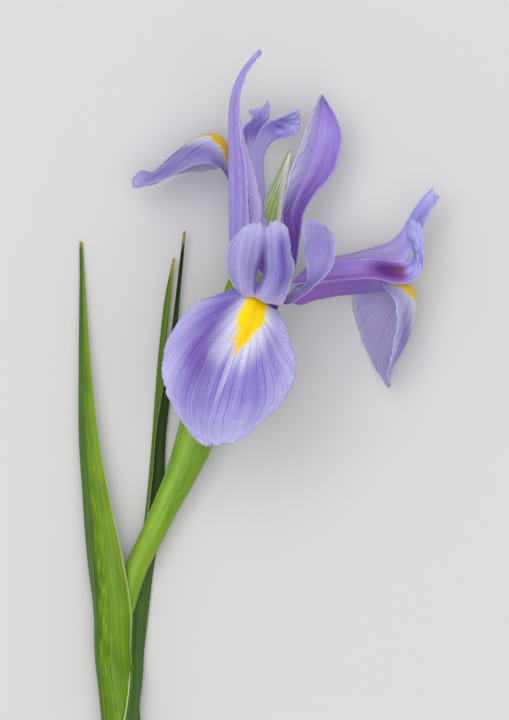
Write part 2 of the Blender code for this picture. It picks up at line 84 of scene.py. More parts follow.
def mix(first: Colour, second: Colour, share: float) -> Colour:
    """Blends two colours; share 1 gives the second."""
    share = min(max(share, 0.0), 1.0)
    return tuple(a + (b - a) * share for a, b in zip(first, second))


def smooth(value: float, low: float, high: float) -> float:
    """Rises gently from 0 at low to 1 at high, or falls if high is the smaller."""
    step = min(max((value - low) / (high - low), 0.0), 1.0)
    return step * step * (3.0 - 2.0 * step)


def waver(x: float, y: float, seed: float) -> float:
    """Soft noise from -1 to 1 at a place on a piece; the seed makes each piece its own."""
    return noise.noise(Vector((x, y, seed * 7.31)))


def hump(value: float, middle: float, width: float) -> float:
    """A smooth hump, 1 at its middle."""
    return math.exp(-((value - middle) / width) ** 2)


def outward(u: float) -> float:
    """How near u is to a piece's two edges, 0 in the middle and 1 at either edge."""
    return abs(2 * u - 1)


def billow(point: Vector, x: float, y: float, z: float, seed: float) -> float:
    """Soft noise from -1 to 1 at a point in space, at a scale for each direction."""
    return waver(point.x * x, point.y * y + point.z * z, seed)


def wash(colour: Colour, *layers: tuple[Colour, float]) -> Colour:
    """Lays one colour after another over the first, each with its own share."""
    for over, share in layers:
        colour = mix(colour, over, share)
    return colour


def fluted(count: int, depth: float) -> Callable[[float, float], float]:
    """The outline of a round piece with ridges or lobes, for a rod's shape."""
    return lambda turn, place: 1.0 - depth * (0.5 + 0.5 * math.cos(2 * math.pi * count * turn))


def link(item: Item) -> Item:
    """Puts an object in the scene."""
    bpy.context.scene.collection.objects.link(item)
    return item


def model(name: str, shape: bmesh.types.BMesh, *materials: Material, soft: bool = True) -> Item:
    """Turns a finished bmesh into an object in the scene.

    Args:
        name: The object's name.
        shape: The bmesh, which is freed.
        materials: Its materials, in slot order.
        soft: Whether it is shaded smooth.

    Returns:
        The new object.
    """
    mesh = bpy.data.meshes.new(name)
    shape.to_mesh(mesh)
    shape.free()
    if soft:
        mesh.shade_smooth()
    for material in materials:
        mesh.materials.append(material)
    return link(bpy.data.objects.new(name, mesh))


def along(values, place: float):
    """Reads a smooth curve through values, which are vectors or numbers.

    Args:
        values: Two or more vectors or numbers.
        place: Where to read it, from 0 to 1.

    Returns:
        The vector or number there.
    """
    last = len(values) - 1
    at = min(max(place, 0.0), 1.0) * last
    index = min(int(at), last - 1)
    step = at - index
    here, there = values[index], values[index + 1]
    before = values[index - 1] if index > 0 else here * 2 - there
    after = values[index + 2] if index + 2 <= last else there * 2 - here
    return (here * 2 + (there - before) * step
            + (before * 2 - here * 5 + there * 4 - after) * step ** 2
            + (here * 3 - before - there * 3 + after) * step ** 3) * 0.5


def rim(angle: float, radius: float, lift: float = 2.5) -> Vector:
    """A point on the ring where petals stand; the right fall is at 0 degrees."""
    turn = math.radians(angle)
    return AXIS * lift + (RADIAL * math.cos(turn) + ACROSS * math.sin(turn)) * radius


def claw(angle: float, half_angle: float, radius: float, lift: float = 2.5) -> Station:
    """The three points across a petal's narrow foot."""
    return tuple(rim(angle + step * half_angle, radius, lift) for step in (-1, 0, 1))


# ---------------------------------------------------------------- shared shader groups

class Sketch:
    """Adds nodes to a tree in one short call each."""

    def __init__(self, tree: Tree) -> None:
        """Keeps the tree that the nodes go in."""
        self.tree = tree

    def add(self, kind: str, inputs: Optional[dict] = None, **settings) -> bpy.types.Node:
        """Adds one node.

        Args:
            kind: The node's type, such as ShaderNodeMath.
            inputs: Values or sockets by input name or number.
            settings: Attributes of the node.

        Returns:
            The new node.
        """
        node = self.tree.nodes.new(kind)
        for name, value in settings.items():
            setattr(node, name, value)
        for name, value in (inputs or {}).items():
            if isinstance(value, Socket):
                self.tree.links.new(value, node.inputs[name])
            else:
                node.inputs[name].default_value = value
        return node

    def math(self, operation: str, *values, clamp: bool = False) -> Socket:
        """A Math node's result; values are numbers or sockets."""
        return self.add("ShaderNodeMath", dict(enumerate(values)), operation=operation,
                        use_clamp=clamp).outputs[0]

    def blend(self, share, first, second, kind: str = "MIX") -> Socket:
        """A colour mix; share, first and second are values or sockets."""
        node = self.add("ShaderNodeMix", {0: share, 6: first, 7: second}, data_type="RGBA",
                        blend_type=kind, clamp_factor=True)
        return node.outputs[2]


def new_group(name: str, inputs: dict, outputs: dict) -> tuple[Tree, Sketch]:
    """Starts a shader node group.

    Args:
        name: The group's name.
        inputs: Socket type and default by input name.
        outputs: Socket type by output name.

    Returns:
        The group and a sketch of it.
    """
    tree = bpy.data.node_groups.new(name, "ShaderNodeTree")
    for label, (kind, default) in inputs.items():
        socket = tree.interface.new_socket(label, in_out="INPUT", socket_type=kind)
        if default is not None:
            socket.default_value = default
    for label, kind in outputs.items():
        tree.interface.new_socket(label, in_out="OUTPUT", socket_type=kind)
    return tree, Sketch(tree)


def vein_group() -> Tree:
    """Veins along a piece's own UV map, unevenly spaced and each of its own strength."""
    tree, s = new_group("veins", {
        "Flow": ("NodeSocketVector", None), "Count": ("NodeSocketFloat", 20.0),
        "Waver": ("NodeSocketFloat", 0.02), "Seed": ("NodeSocketFloat", 0.0)},
        {"Lines": "NodeSocketFloat", "Streaks": "NodeSocketFloat"})
    come = tree.nodes.new("NodeGroupInput").outputs
    parts = s.add("ShaderNodeSeparateXYZ", {0: come["Flow"]}).outputs
    drift = s.add("ShaderNodeCombineXYZ", {0: s.math("MULTIPLY", parts[0], 5.0),
                                           1: s.math("MULTIPLY", parts[1], 3.0),
                                           2: come["Seed"]})
    bend = s.add("ShaderNodeTexNoise", {"Vector": drift.outputs[0], "Scale": 1.0, "Detail": 2.0})
    off = s.math("MULTIPLY", s.math("SUBTRACT", bend.outputs[0], 0.5), come["Waver"])
    across = s.math("ADD", parts[0], off)

    def line(count, width: float) -> Socket:
        """Thin lines across the piece, unevenly spaced and of uneven strength."""
        run = s.math("MULTIPLY", across, count)
        uneven = s.add("ShaderNodeTexNoise", {"W": s.math("MULTIPLY", run, 0.6), "Scale": 1.0,
                                              "Detail": 1.0}, noise_dimensions="1D")
        run = s.math("MULTIPLY_ADD", uneven.outputs[0], 1.6, run)
        far = s.math("ABSOLUTE", s.math("SUBTRACT", s.math("FRACT", run), 0.5))
        thin = s.add("ShaderNodeMapRange", {0: far, 1: 0.0, 2: width, 3: 1.0, 4: 0.0},
                     interpolation_type="SMOOTHSTEP").outputs[0]
        own = s.add("ShaderNodeTexWhiteNoise", {"W": s.math("FLOOR", run)},
                    noise_dimensions="1D").outputs["Value"]
        return s.math("MULTIPLY", thin, s.math("MULTIPLY_ADD", own, 0.8, 0.2))

    coarse = line(come["Count"], 0.2)
    fine = line(s.math("MULTIPLY", come["Count"], 2.6), 0.34)
    stretch = s.add("ShaderNodeCombineXYZ", {
        0: s.math("MULTIPLY", across, s.math("MULTIPLY", come["Count"], 1.6)),
        1: s.math("MULTIPLY", parts[1], 5.0), 2: come["Seed"]})
    streak = s.add("ShaderNodeTexNoise", {"Vector": stretch.outputs[0], "Scale": 1.0,
                                          "Detail": 3.0, "Roughness": 0.65})
    broken = s.add("ShaderNodeMapRange", {0: streak.outputs[0], 1: 0.34, 2: 0.6},
                   interpolation_type="SMOOTHSTEP").outputs[0]
    lines = s.math("ADD", s.math("MULTIPLY", coarse, s.math("ADD", 0.4, broken)),
                   s.math("MULTIPLY", s.math("MULTIPLY", fine, broken), 0.8), clamp=True)
    go = tree.nodes.new("NodeGroupOutput").inputs
    tree.links.new(lines, go["Lines"])
    tree.links.new(streak.outputs[0], go["Streaks"])
    return tree


def tissue_group() -> Tree:
    """Fine cell grain and soft mottling of plant tissue, on Object coordinates."""
    tree, s = new_group("tissue", {
        "Point": ("NodeSocketVector", None), "Cell": ("NodeSocketFloat", 2600.0),
        "Patch": ("NodeSocketFloat", 90.0)},
        {"Grain": "NodeSocketFloat", "Mottle": "NodeSocketFloat"})
    come = tree.nodes.new("NodeGroupInput").outputs
    cells = s.add("ShaderNodeTexVoronoi", {"Vector": come["Point"], "Scale": come["Cell"]})
    patch = s.add("ShaderNodeTexNoise", {"Vector": come["Point"], "Scale": come["Patch"],
                                         "Detail": 4.0, "Roughness": 0.6})
    go = tree.nodes.new("NodeGroupOutput").inputs
    tree.links.new(cells.outputs["Distance"], go["Grain"])
    tree.links.new(patch.outputs[0], go["Mottle"])
    return tree


# ---------------------------------------------------------------- finishes

@dataclass(frozen=True)
class TissueFinish:
    """A plant skin whose main colour is painted on the piece, with veins, grain and gloss.

    Each piece carries the painted colour; its fourth value says how strong the veins are.
    """

    name: str
    vein: Colour
    painted: str = "tint"
    vein_share: float = 0.6
    count: float = 20.0
    waviness: float = 0.05
    streak: float = 0.3
    mottle: float = 0.25
    roughness: float = 0.55
    through: float = 0.0
    sheen: float = 0.0
    specular: float = 0.4
    bump: float = 0.25
    depth: float = 0.00025
    seed: float = 0.0

    def build(self, veins: Tree, tissue: Tree) -> Material:
        """Makes the material.

        Args:
            veins: The shared vein group.
            tissue: The shared grain group.

        Returns:
            The finished material.
        """
        material = bpy.data.materials.new(self.name)
        material.use_nodes = True
        tree = material.node_tree
        tree.nodes.clear()
        s = Sketch(tree)
        flow = s.add("ShaderNodeUVMap", uv_map="flow").outputs[0]
        spot = s.add("ShaderNodeTexCoord").outputs["Object"]
        vein = s.add("ShaderNodeGroup", node_tree=veins)
        for label, value in (("Count", self.count), ("Waver", self.waviness),
                             ("Seed", self.seed)):
            vein.inputs[label].default_value = value
        tree.links.new(flow, vein.inputs["Flow"])
        grain = s.add("ShaderNodeGroup", node_tree=tissue)
        tree.links.new(spot, grain.inputs["Point"])
        tint = s.add("ShaderNodeAttribute", attribute_name=self.painted)
        light = s.math("MULTIPLY_ADD", s.math("SUBTRACT", grain.outputs["Mottle"], 0.5),
                       self.mottle * 2.0, 1.0)
        streaks = s.math("MULTIPLY_ADD", s.math("SUBTRACT", vein.outputs["Streaks"], 0.5),
                         self.streak * 2.0, 1.0)
        cells = s.math("MULTIPLY_ADD", s.math("SUBTRACT", grain.outputs["Grain"], 0.4), 0.22, 1.0)
        shade = s.math("MULTIPLY", s.math("MULTIPLY", light, streaks), cells)
        toned = s.add("ShaderNodeVectorMath", {0: tint.outputs["Color"], 1: s.add(
            "ShaderNodeCombineXYZ", {0: shade, 1: shade, 2: shade}).outputs[0]},
            operation="MULTIPLY").outputs[0]
        share = s.math("MULTIPLY", s.math("MULTIPLY", vein.outputs["Lines"], self.vein_share),
                       tint.outputs["Alpha"], clamp=True)
        colour = s.blend(share, toned, (*self.vein, 1.0), "MULTIPLY")
        rough = s.math("MULTIPLY_ADD", grain.outputs["Mottle"], 0.24, self.roughness - 0.12)
        height = s.math("ADD", s.math("MULTIPLY", vein.outputs["Lines"], -0.55), s.math(
            "MULTIPLY", grain.outputs["Grain"], 0.5))
        relief = s.add("ShaderNodeBump", {"Strength": self.bump, "Distance": self.depth,
                                          "Height": height}).outputs[0]
        skin = s.add("ShaderNodeBsdfPrincipled", {
            "Base Color": colour, "Roughness": rough, "Normal": relief,
            "Specular IOR Level": self.specular, "Sheen Weight": self.sheen,
            "Sheen Roughness": 0.4})
        last = skin.outputs[0]
        if self.through > 0.0:
            glow = s.add("ShaderNodeBsdfTranslucent", {"Color": colour, "Normal": relief})
            last = s.add("ShaderNodeMixShader", {0: self.through, 1: last,
                                                 2: glow.outputs[0]}).outputs[0]
        s.tree.links.new(last, s.add("ShaderNodeOutputMaterial").inputs[0])
        return material


@dataclass(frozen=True)
class TableFinish:
    """A plain matt tabletop."""

    colour: Colour = (0.66, 0.655, 0.655)

    def build(self) -> Material:
        """Makes the material, with a very faint mottling."""
        material = bpy.data.materials.new("table_matt")
        material.use_nodes = True
        s = Sketch(material.node_tree)
        shader = material.node_tree.nodes["Principled BSDF"]
        shader.inputs["Roughness"].default_value = 0.9
        shader.inputs["Specular IOR Level"].default_value = 0.1
        spot = s.add("ShaderNodeTexCoord").outputs["Object"]
        soft = s.add("ShaderNodeTexNoise", {"Vector": spot, "Scale": 6.0, "Detail": 2.0})
        tone = s.blend(soft.outputs[0], (*self.colour, 1.0),
                       (*(value * 0.985 for value in self.colour), 1.0))
        s.tree.links.new(tone, shader.inputs["Base Color"])
        return material


class Hue:
    """Colours of the flower, named for where they are."""

    BLUE = srgb(162, 154, 222)
    DEEP = srgb(118, 98, 188)
    PALE = srgb(206, 204, 242)
    LILAC = srgb(170, 152, 226)
    VIOLET = srgb(150, 116, 204)
    GRAPE = srgb(164, 108, 208)
    # This violet is used as painted shade in grooves, folds and between crinkles.
    DUSK = srgb(112, 80, 168)
    WINE = srgb(138, 76, 172)
    # This plum is used as painted shade in folds and in the anther's shadow.
    PLUM = srgb(94, 40, 126)
    SHADE_MAROON = srgb(132, 58, 96)
    YELLOW = srgb(255, 222, 0)
    ORANGE = srgb(250, 190, 0)
    HALO = srgb(238, 242, 248)
    GREY = srgb(188, 180, 212)
    PINK = srgb(220, 196, 212)
    LEAF = srgb(90, 132, 12)
    LEAF_LIT = srgb(134, 170, 22)
    LEAF_FLECK = srgb(168, 188, 22)
    LEAF_DARK = srgb(38, 64, 4)
    LEAF_BLUE = srgb(80, 116, 48)
    STRAW = srgb(188, 170, 66)
    SPATHE = srgb(114, 156, 12)
    SPATHE_LIT = srgb(158, 196, 74)
    SPATHE_CORE = srgb(96, 140, 0)
    PAPER = srgb(246, 246, 236)
    STEM = srgb(110, 156, 40)
    PITH = srgb(220, 228, 180)
    POLLEN = srgb(226, 210, 164)


# ---------------------------------------------------------------- surfaces

def petal_surface(stations: list[Station]) -> Place:
    """A petal's middle surface through its stations, at u across and v along."""
    rails = [[Vector(point) for point in rail] for rail in zip(*stations)]
    memory: dict[float, list[Vector]] = {}

    def place(u: float, v: float, _side: int) -> Vector:
        """The point at u and v."""
        if v not in memory:
            memory[v] = [along(rail, v) for rail in rails]
        return along(memory[v], u)
    return place


def arm_surface(stations: list[Station], split: int) -> Place:
    """A style arm's surface, whose halves share the keel as far as the split."""
    whole = [row if len(row) == 6 else row[:3] + row[2:] for row in stations]
    rails = [[Vector(point) for point in rail] for rail in zip(*whole)]
    parting = split / (len(stations) - 1)

    def place(u: float, v: float, side: int) -> Vector:
        """The point at u and v on one side of the keel."""
        row = [along(rail, v) for rail in rails]
        if v <= parting:
            row[3] = row[2]
        return along(row[:3], u * 2) if side < 0 else along(row[3:], u * 2 - 1)
    return place


def strip_surface(stations: list[tuple]) -> Place:
    """A leaf's or valve's surface: arcs about a midline, each with a width, wrap and turn."""
    middles = [Vector(station[0]) for station in stations]
    widths, wraps, turns = ([station[i] for station in stations] for i in (1, 2, 3))

    def place(u: float, v: float, _side: int) -> Vector:
        """The point at u and v."""
        here = along(middles, v)
        ahead = along(middles, min(v + 0.01, 1.0)) - along(middles, max(v - 0.01, 0.0))
        ahead.normalize()
        side = ahead.cross(Vector((0, 0, 1))).normalized()
        up = side.cross(ahead)
        turn = math.radians(along(turns, v))
        facing = up * math.cos(turn) + side * math.sin(turn)
        beside = side * math.cos(turn) - up * math.sin(turn)
        wrap = math.radians(max(along(wraps, v), 5.0))
        radius = max(along(widths, v), 0.3) / wrap
        angle = (u - 0.5) * wrap
        return here + beside * (radius * math.sin(angle)) + facing * (
            radius * (math.cos(angle) - 1.0))
    return place


@dataclass
class Sheet:
    """One thin piece of the plant: a grid laid on a surface, ruffled, painted and thickened.

    Args:
        name: The piece's name.
        place: The surface.
        paint: Colour and vein strength over the surface.
        ruffle: How far the surface is pushed along its normal, in millimetres.
        rows: Grid cells along.
        columns: Grid cells across.
        wall: Thickness in the middle, in millimetres.
        thin: Thickness at the edge as a share of the wall.
        parting: Where the middle seam opens, from 0 to 1.
        flow: Where a point lies among the veins, as a UV.
        under: Colour and vein strength of the other side, if it differs.
    """

    name: str
    place: Place
    paint: Paint
    ruffle: Callable[[float, float, int, Vector], float] = lambda u, v, side, point: 0.0
    rows: int = 96
    columns: int = 48
    wall: float = 0.4
    thin: float = 0.35
    parting: Optional[float] = None
    flow: Callable[[float, float], tuple[float, float]] = lambda u, v: (u, v)
    under: Optional[Paint] = None

    def build(self, face: Material,
              back: Optional[Material] = None) -> Item:
        """Makes the piece.

        Args:
            face: The material of the side the grid faces.
            back: The other side's material, if it differs.

        Returns:
            The finished object, in place.
        """
        shape = bmesh.new()
        bmesh.ops.create_grid(shape, x_segments=self.columns, y_segments=self.rows, size=0.5)
        flow = shape.loops.layers.uv.new("flow")
        tint = shape.verts.layers.float_color.new("tint")
        under = shape.verts.layers.float_color.new("under")
        for vert in shape.verts:
            vert.co += Vector((0.5, 0.5, 0.0))
        for one in shape.faces:
            for loop in one.loops:
                loop[flow].uv = self.flow(loop.vert.co.x, loop.vert.co.y)
        if self.parting is not None:
            seam = [edge for edge in shape.edges
                    if all(abs(vert.co.x - 0.5) < 1e-4 for vert in edge.verts)
                    and min(vert.co.y for vert in edge.verts) > self.parting - 1e-4]
            bmesh.ops.split_edges(shape, edges=seam)
        where: dict = {}
        for vert in shape.verts:
            middle = sum(one.calc_center_median().x for one in vert.link_faces)
            side = -1 if middle / len(vert.link_faces) < 0.5 else 1
            where[vert] = (min(max(vert.co.x, 0.0), 1.0), min(max(vert.co.y, 0.0), 1.0), side)
        edges = {vert: vert.is_boundary for vert in shape.verts}
        for vert, (u, v, side) in where.items():
            vert.co = self.place(u, v, side)
            vert[tint] = self.paint(u, v, side)
            vert[under] = (self.under or self.paint)(u, v, side)
        shape.normal_update()
        pushes = {vert: vert.normal * self.ruffle(*uvs, vert.co.copy())
                  for vert, uvs in where.items()}
        for vert, push in pushes.items():
            vert.co = HEART + (vert.co + push) * MM
        shape.verts.index_update()
        inner = [vert.index for vert in shape.verts if not edges[vert]]
        item = model(self.name, shape, face, back or face)
        item.vertex_groups.new(name="body").add(inner, 1.0, "REPLACE")
        wall = item.modifiers.new("wall", "SOLIDIFY")
        wall.thickness = self.wall * MM
        wall.offset = 0.0
        wall.vertex_group = "body"
        wall.thickness_vertex_group = self.thin
        wall.material_offset = 1
        return item


@dataclass
class Rod:
    """One round piece: rings along a smooth line, closed at both ends.

    Args:
        name: The piece's name.
        points: Points along the middle.
        radii: The radius at each point.
        paint: Colour at the turn round and the place along, each 0 to 1.
        shape: How the radius changes with the turn and the place.
        rings: Rings along.
        sides: Points round.
        dome: How far each end swells, as a share of its radius.
    """

    name: str
    points: list
    radii: list
    paint: Callable[[float, float], Tint]
    shape: Callable[[float, float], float] = lambda turn, place: 1.0
    rings: int = 60
    sides: int = 32
    dome: tuple[float, float] = (0.3, 0.3)

    def build(self, material: Material) -> Item:
        """Makes the piece with its material, in place."""
        spine = [Vector(point) for point in self.points]
        shape = bmesh.new()
        flow = shape.loops.layers.uv.new("flow")
        tint = shape.verts.layers.float_color.new("tint")
        caps = (0.0, 0.35, 0.65, 0.88)
        plan = [(0.0, share, -1) for share in caps]
        plan += [(step / self.rings, 1.0, 0) for step in range(self.rings + 1)]
        plan += [(1.0, share, 1) for share in reversed(caps)]
        rows = []
        for place, share, end in plan:
            middle = along(spine, place)
            ahead = along(spine, min(place + 0.01, 1.0)) - along(spine, max(place - 0.01, 0.0))
            ahead.normalize()
            side = ahead.cross(Vector((0.05, 0.1, 1.0))).normalized()
            up = side.cross(ahead)
            radius = along(self.radii, place)
            swell = self.dome[0 if end < 0 else 1] * radius * math.sqrt(1.0 - share * share)
            middle = middle + ahead * (end * swell)
            row = []
            for step in range(1 if share == 0.0 else self.sides):
                turn = step / self.sides
                angle = 2 * math.pi * turn
                reach = radius * share * self.shape(turn, place)
                vert = shape.verts.new(HEART + (middle + side * (reach * math.cos(angle))
                                                + up * (reach * math.sin(angle))) * MM)
                vert[tint] = self.paint(share if end else turn, -1.0 if end < 0 else (
                    2.0 if end > 0 else place))
                row.append(vert)
            rows.append((row, place))
        for (low, start), (high, stop) in zip(rows, rows[1:]):
            for step in range(self.sides):
                after = (step + 1) % self.sides
                if len(low) == 1:
                    corners = (low[0], high[after], high[step])
                elif len(high) == 1:
                    corners = (low[step], low[after], high[0])
                else:
                    corners = (low[step], low[after], high[after], high[step])
                one = shape.faces.new(corners)
                for loop in one.loops:
                    turn = (step + (1 if loop.vert in (low[after % len(low)],
                                                       high[after % len(high)]) else 0))
                    loop[flow].uv = (turn / self.sides, start if loop.vert in low else stop)
        bmesh.ops.recalc_face_normals(shape, faces=shape.faces)
        return model(self.name, shape, material)


def fit(item: Item, slot: str, *nodes: str) -> None:
    """Fixes a finished piece to the cut flower.

    Args:
        item: The piece.
        slot: The record's material slot; it is not used.
        nodes: The plain solids it stands for.
    """
    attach(item, "root")
    if nodes:
        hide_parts(*nodes)
    LOG.info("%s: %d faces", item.name, len(item.data.polygons))


# ---------------------------------------------------------------- the falls

@dataclass
class Fall:
    """A fall: a haft that carries the yellow signal and a broad, ruffled blade.

    Args:
        name: The CAD node it stands for.
        stations: Points across it, from its foot to its tip.
        signal: Middle of the yellow patch across, its half width, where it ends along, and
            where the pale halo ends.
        halo_width: How far the pale halo reaches past the yellow, across.
        warmth: How far the yellow tends to orange.
        pale_edge: How pale the blade's margin is.
        haft_end: Where the blade begins along.
        valley: Where a groove runs across the blade, dented and darkened with painted shade, and
            how strong it is.
        shade: How far the blade tends to deep violet.
        ruffles: Height of the edge's waves, in millimetres.
        seed: Makes the petal's unevenness its own.
        flip: Whether the upper side is the grid's back.
    """

    name: str
    stations: list[Station]
    signal: tuple[float, float, float, float]
    haft_end: float
    valley: tuple[float, float] = (0.25, 0.0)
    shade: float = 0.0
    ruffles: float = 0.6
    seed: float = 1.0
    flip: bool = False
    halo_width: float = 0.15
    warmth: float = 0.0
    pale_edge: float = 0.85

    def flow(self, u: float, v: float) -> tuple[float, float]:
        """Veins fan out from the haft's end to the blade's margins."""
        spread = 0.12 + 2.0 * max(v - self.haft_end + 0.03, 0.0)
        return 0.5 + (u - 0.5) / spread, v

    def place(self) -> Place:
        """The blade's surface, with its outline finely notched."""
        base = petal_surface(self.stations)

        def point(u: float, v: float, side: int) -> Vector:
            """The point at u and v."""
            blade = smooth(v, self.haft_end, self.haft_end + 0.08)
            outer = smooth(outward(u), 0.9, 1.0)
            nick = abs(waver(v * 44, u * 2, self.seed)) * 0.045 * outer * blade
            tip = smooth(v, 0.96, 1.0)
            lift = abs(waver(u * 17, 0.0, self.seed + 3)) * 0.03 * tip
            return base(0.5 + (u - 0.5) * (1.0 - nick), v - lift, side)
        return point

    def ruffle(self, u: float, v: float, _side: int, point: Vector) -> float:
        """Waves along the edge, a groove, and a raised midrib."""
        blade = smooth(v, self.haft_end, self.haft_end + 0.12)
        far = outward(u)
        edge = max(smooth(far, 0.3, 1.0), smooth(v, 0.78, 1.0))
        rim_only = max(smooth(far, 0.8, 1.0), smooth(v, 0.9, 1.0))
        broad = billow(point, 0.14, 0.14, 0.1, self.seed)
        fine = billow(point, 0.42, 0.42, 0.3, self.seed + 5)
        crimp = billow(point, 1.1, 1.1, 0.6, self.seed + 9)
        rib = 0.14 * hump(u, 0.5, 0.016) * (1.0 - smooth(v, 0.8, 0.95))
        groove = self.valley[1] * hump(u, self.valley[0], 0.09) * (
            1.0 - smooth(v, 0.65, 0.9))
        turned = -1.0 if self.flip else 1.0
        return blade * (self.ruffles * (broad * 1.3 * edge + fine * 0.75 * edge
                                        + crimp * 0.55 * rim_only)
                        + turned * (rib - groove * 1.3))

    def paint(self, u: float, v: float, _side: int) -> Tint:
        """Violet haft, yellow signal with its pale halo, blue blade with a light edge and a groove
        of painted shade.
        """
        middle, half, ends, halo_ends = self.signal
        start = self.haft_end
        fan, _ = self.flow(u, v)
        rag = waver(fan * 16, v * 6, self.seed + 4)
        streak = waver(fan * 13, v * 3, self.seed + 6)
        cloud = waver(u * 5, v * 9, self.seed + 2)
        out = smooth(v, start, start + 0.12)
        colour = wash(
            Hue.BLUE, (Hue.DEEP, self.shade + 0.2 - smooth(v, 0.6, 0.95) * 0.3),
            (Hue.VIOLET, 0.25 * smooth(v, start, start + 0.1) * (1 - smooth(v, 0.7, 0.9))),
            (Hue.DEEP, max(streak, 0.0) * 0.4),
            (Hue.PALE, max(-streak, 0.0) * 0.45 + max(cloud, 0.0) * 0.35),
            (Hue.DEEP, smooth(v, start + 0.17, start + 0.02) * smooth(outward(u), 0.25, 0.7) *
             0.6))
        # The groove is darkened with painted shade, on top of its dent in ruffle.
        groove = hump(u, self.valley[0], 0.085)
        colour = mix(colour, Hue.DUSK, groove * self.valley[1] * 0.7
                     * smooth(v, start, start + 0.1) * (1 - smooth(v, 0.66, 0.85)))
        far = outward(u)
        edge = max(smooth(far, 0.55, 1.0), smooth(v, 0.78, 1.0))
        colour = mix(colour, Hue.PALE, edge * self.pale_edge * out * out)
        rim_mark = waver(u * 30, v * 60, self.seed + 8) * max(smooth(far, 0.88, 1.0),
                                                              smooth(v, 0.94, 1.0))
        colour = mix(colour, Hue.BLUE, max(rim_mark, 0.0) * 0.8)
        veins = 1.0 - 0.5 * edge
        drop = min(max((v - start) / (ends - start), 0.0), 1.0)
        away = abs(u - middle - (0.5 - middle) * drop)
        left = max(1.0 - max(v - start, 0.0) / (halo_ends - start), 0.0)
        reach = self.halo_width * (0.75 if u < middle else 1.25)
        halo = smooth(away, (half + reach) * left ** 0.7 + reach * 0.5, half * left * 0.7)
        halo *= smooth(v, start - 0.08, start) * smooth(v + rag * 0.09, halo_ends, ends - 0.07)
        halo *= (0.8 + 0.3 * waver(fan * 22, v * 2, self.seed + 7)) * (1.0 if u < middle else 1.3)
        colour = mix(colour, Hue.HALO, min(halo * 1.1, 1.0) * (0.9 + 0.1 * rag))
        rib = hump(u, 0.5, 0.013) * smooth(v, ends - 0.1, ends) * (
            1 - smooth(v, 0.7, 0.92))
        colour = mix(colour, Hue.HALO, rib * 0.4)
        veins *= 1.0 - 0.35 * halo
        width = half * (1.0 - 0.55 * smooth(drop, 0.36, 0.62) - 0.45 * smooth(drop, 0.62, 1.0))
        width *= 1.0 + 0.3 * smooth(drop, 0.25, 0.0)
        gold = smooth(away + rag * 0.02, width + 0.025, max(width - 0.025, 0.0)) * smooth(
            v + rag * 0.02, ends + 0.01, ends - 0.03) * smooth(v, start - 0.16, start - 0.04)
        rich = mix(Hue.YELLOW, Hue.ORANGE, 0.6 * hump(away, 0.0, 0.04)
                   + 0.35 * max(streak, 0.0) + self.warmth)
        colour = mix(colour, rich, gold)
        veins *= 1.0 - 0.9 * gold
        haft = 1.0 - smooth(v, start - 0.12, start - 0.02)
        foot = wash(
            Hue.GRAPE, (Hue.DEEP, smooth(v, start - 0.26, start - 0.05)),
            (Hue.WINE, max(streak, 0.0) * 0.8), (Hue.PALE, smooth(far, 0.82, 1.0) * 0.5))
        colour = mix(colour, foot, haft * 0.9)
        return (*colour, veins)

    def paint_back(self, u: float, v: float, _side: int) -> Tint:
        """The underside: a grape-coloured haft and a greyer blade with fine veins."""
        fan, _ = self.flow(u, v)
        streak = waver(fan * 13, v * 3, self.seed + 16)
        colour = wash(
            Hue.GREY, (Hue.LILAC, 0.3 + streak * 0.3), (Hue.DEEP, max(-streak, 0.0) * 0.25))
        haft = 1.0 - smooth(v, self.haft_end - 0.14, self.haft_end + 0.02)
        grape = wash(
            Hue.GRAPE, (Hue.VIOLET, 0.3 + waver(u * 9, v * 4, self.seed) * 0.5),
            (Hue.DEEP, 0.6 * smooth(v, self.haft_end - 0.24, self.haft_end - 0.05)),
            (Hue.PALE, smooth(outward(u), 0.82, 1.0) * 0.4))
        colour = mix(colour, grape, haft)
        edge = smooth(outward(u), 0.9, 1.0)
        return (*mix(colour, Hue.PALE, edge * 0.6), 0.9 - 0.4 * edge)

    def build(self, face: Material, back: Material) -> None:
        """Makes the fall and fixes it in place."""
        pair = (back, face) if self.flip else (face, back)
        item = Sheet(f"{self.name}_petal", self.place(), self.paint, self.ruffle,
                     rows=160, columns=88, flow=self.flow, under=self.paint_back).build(*pair)
        fit(item, "petal_blue", self.name)


# ---------------------------------------------------------------- the standards

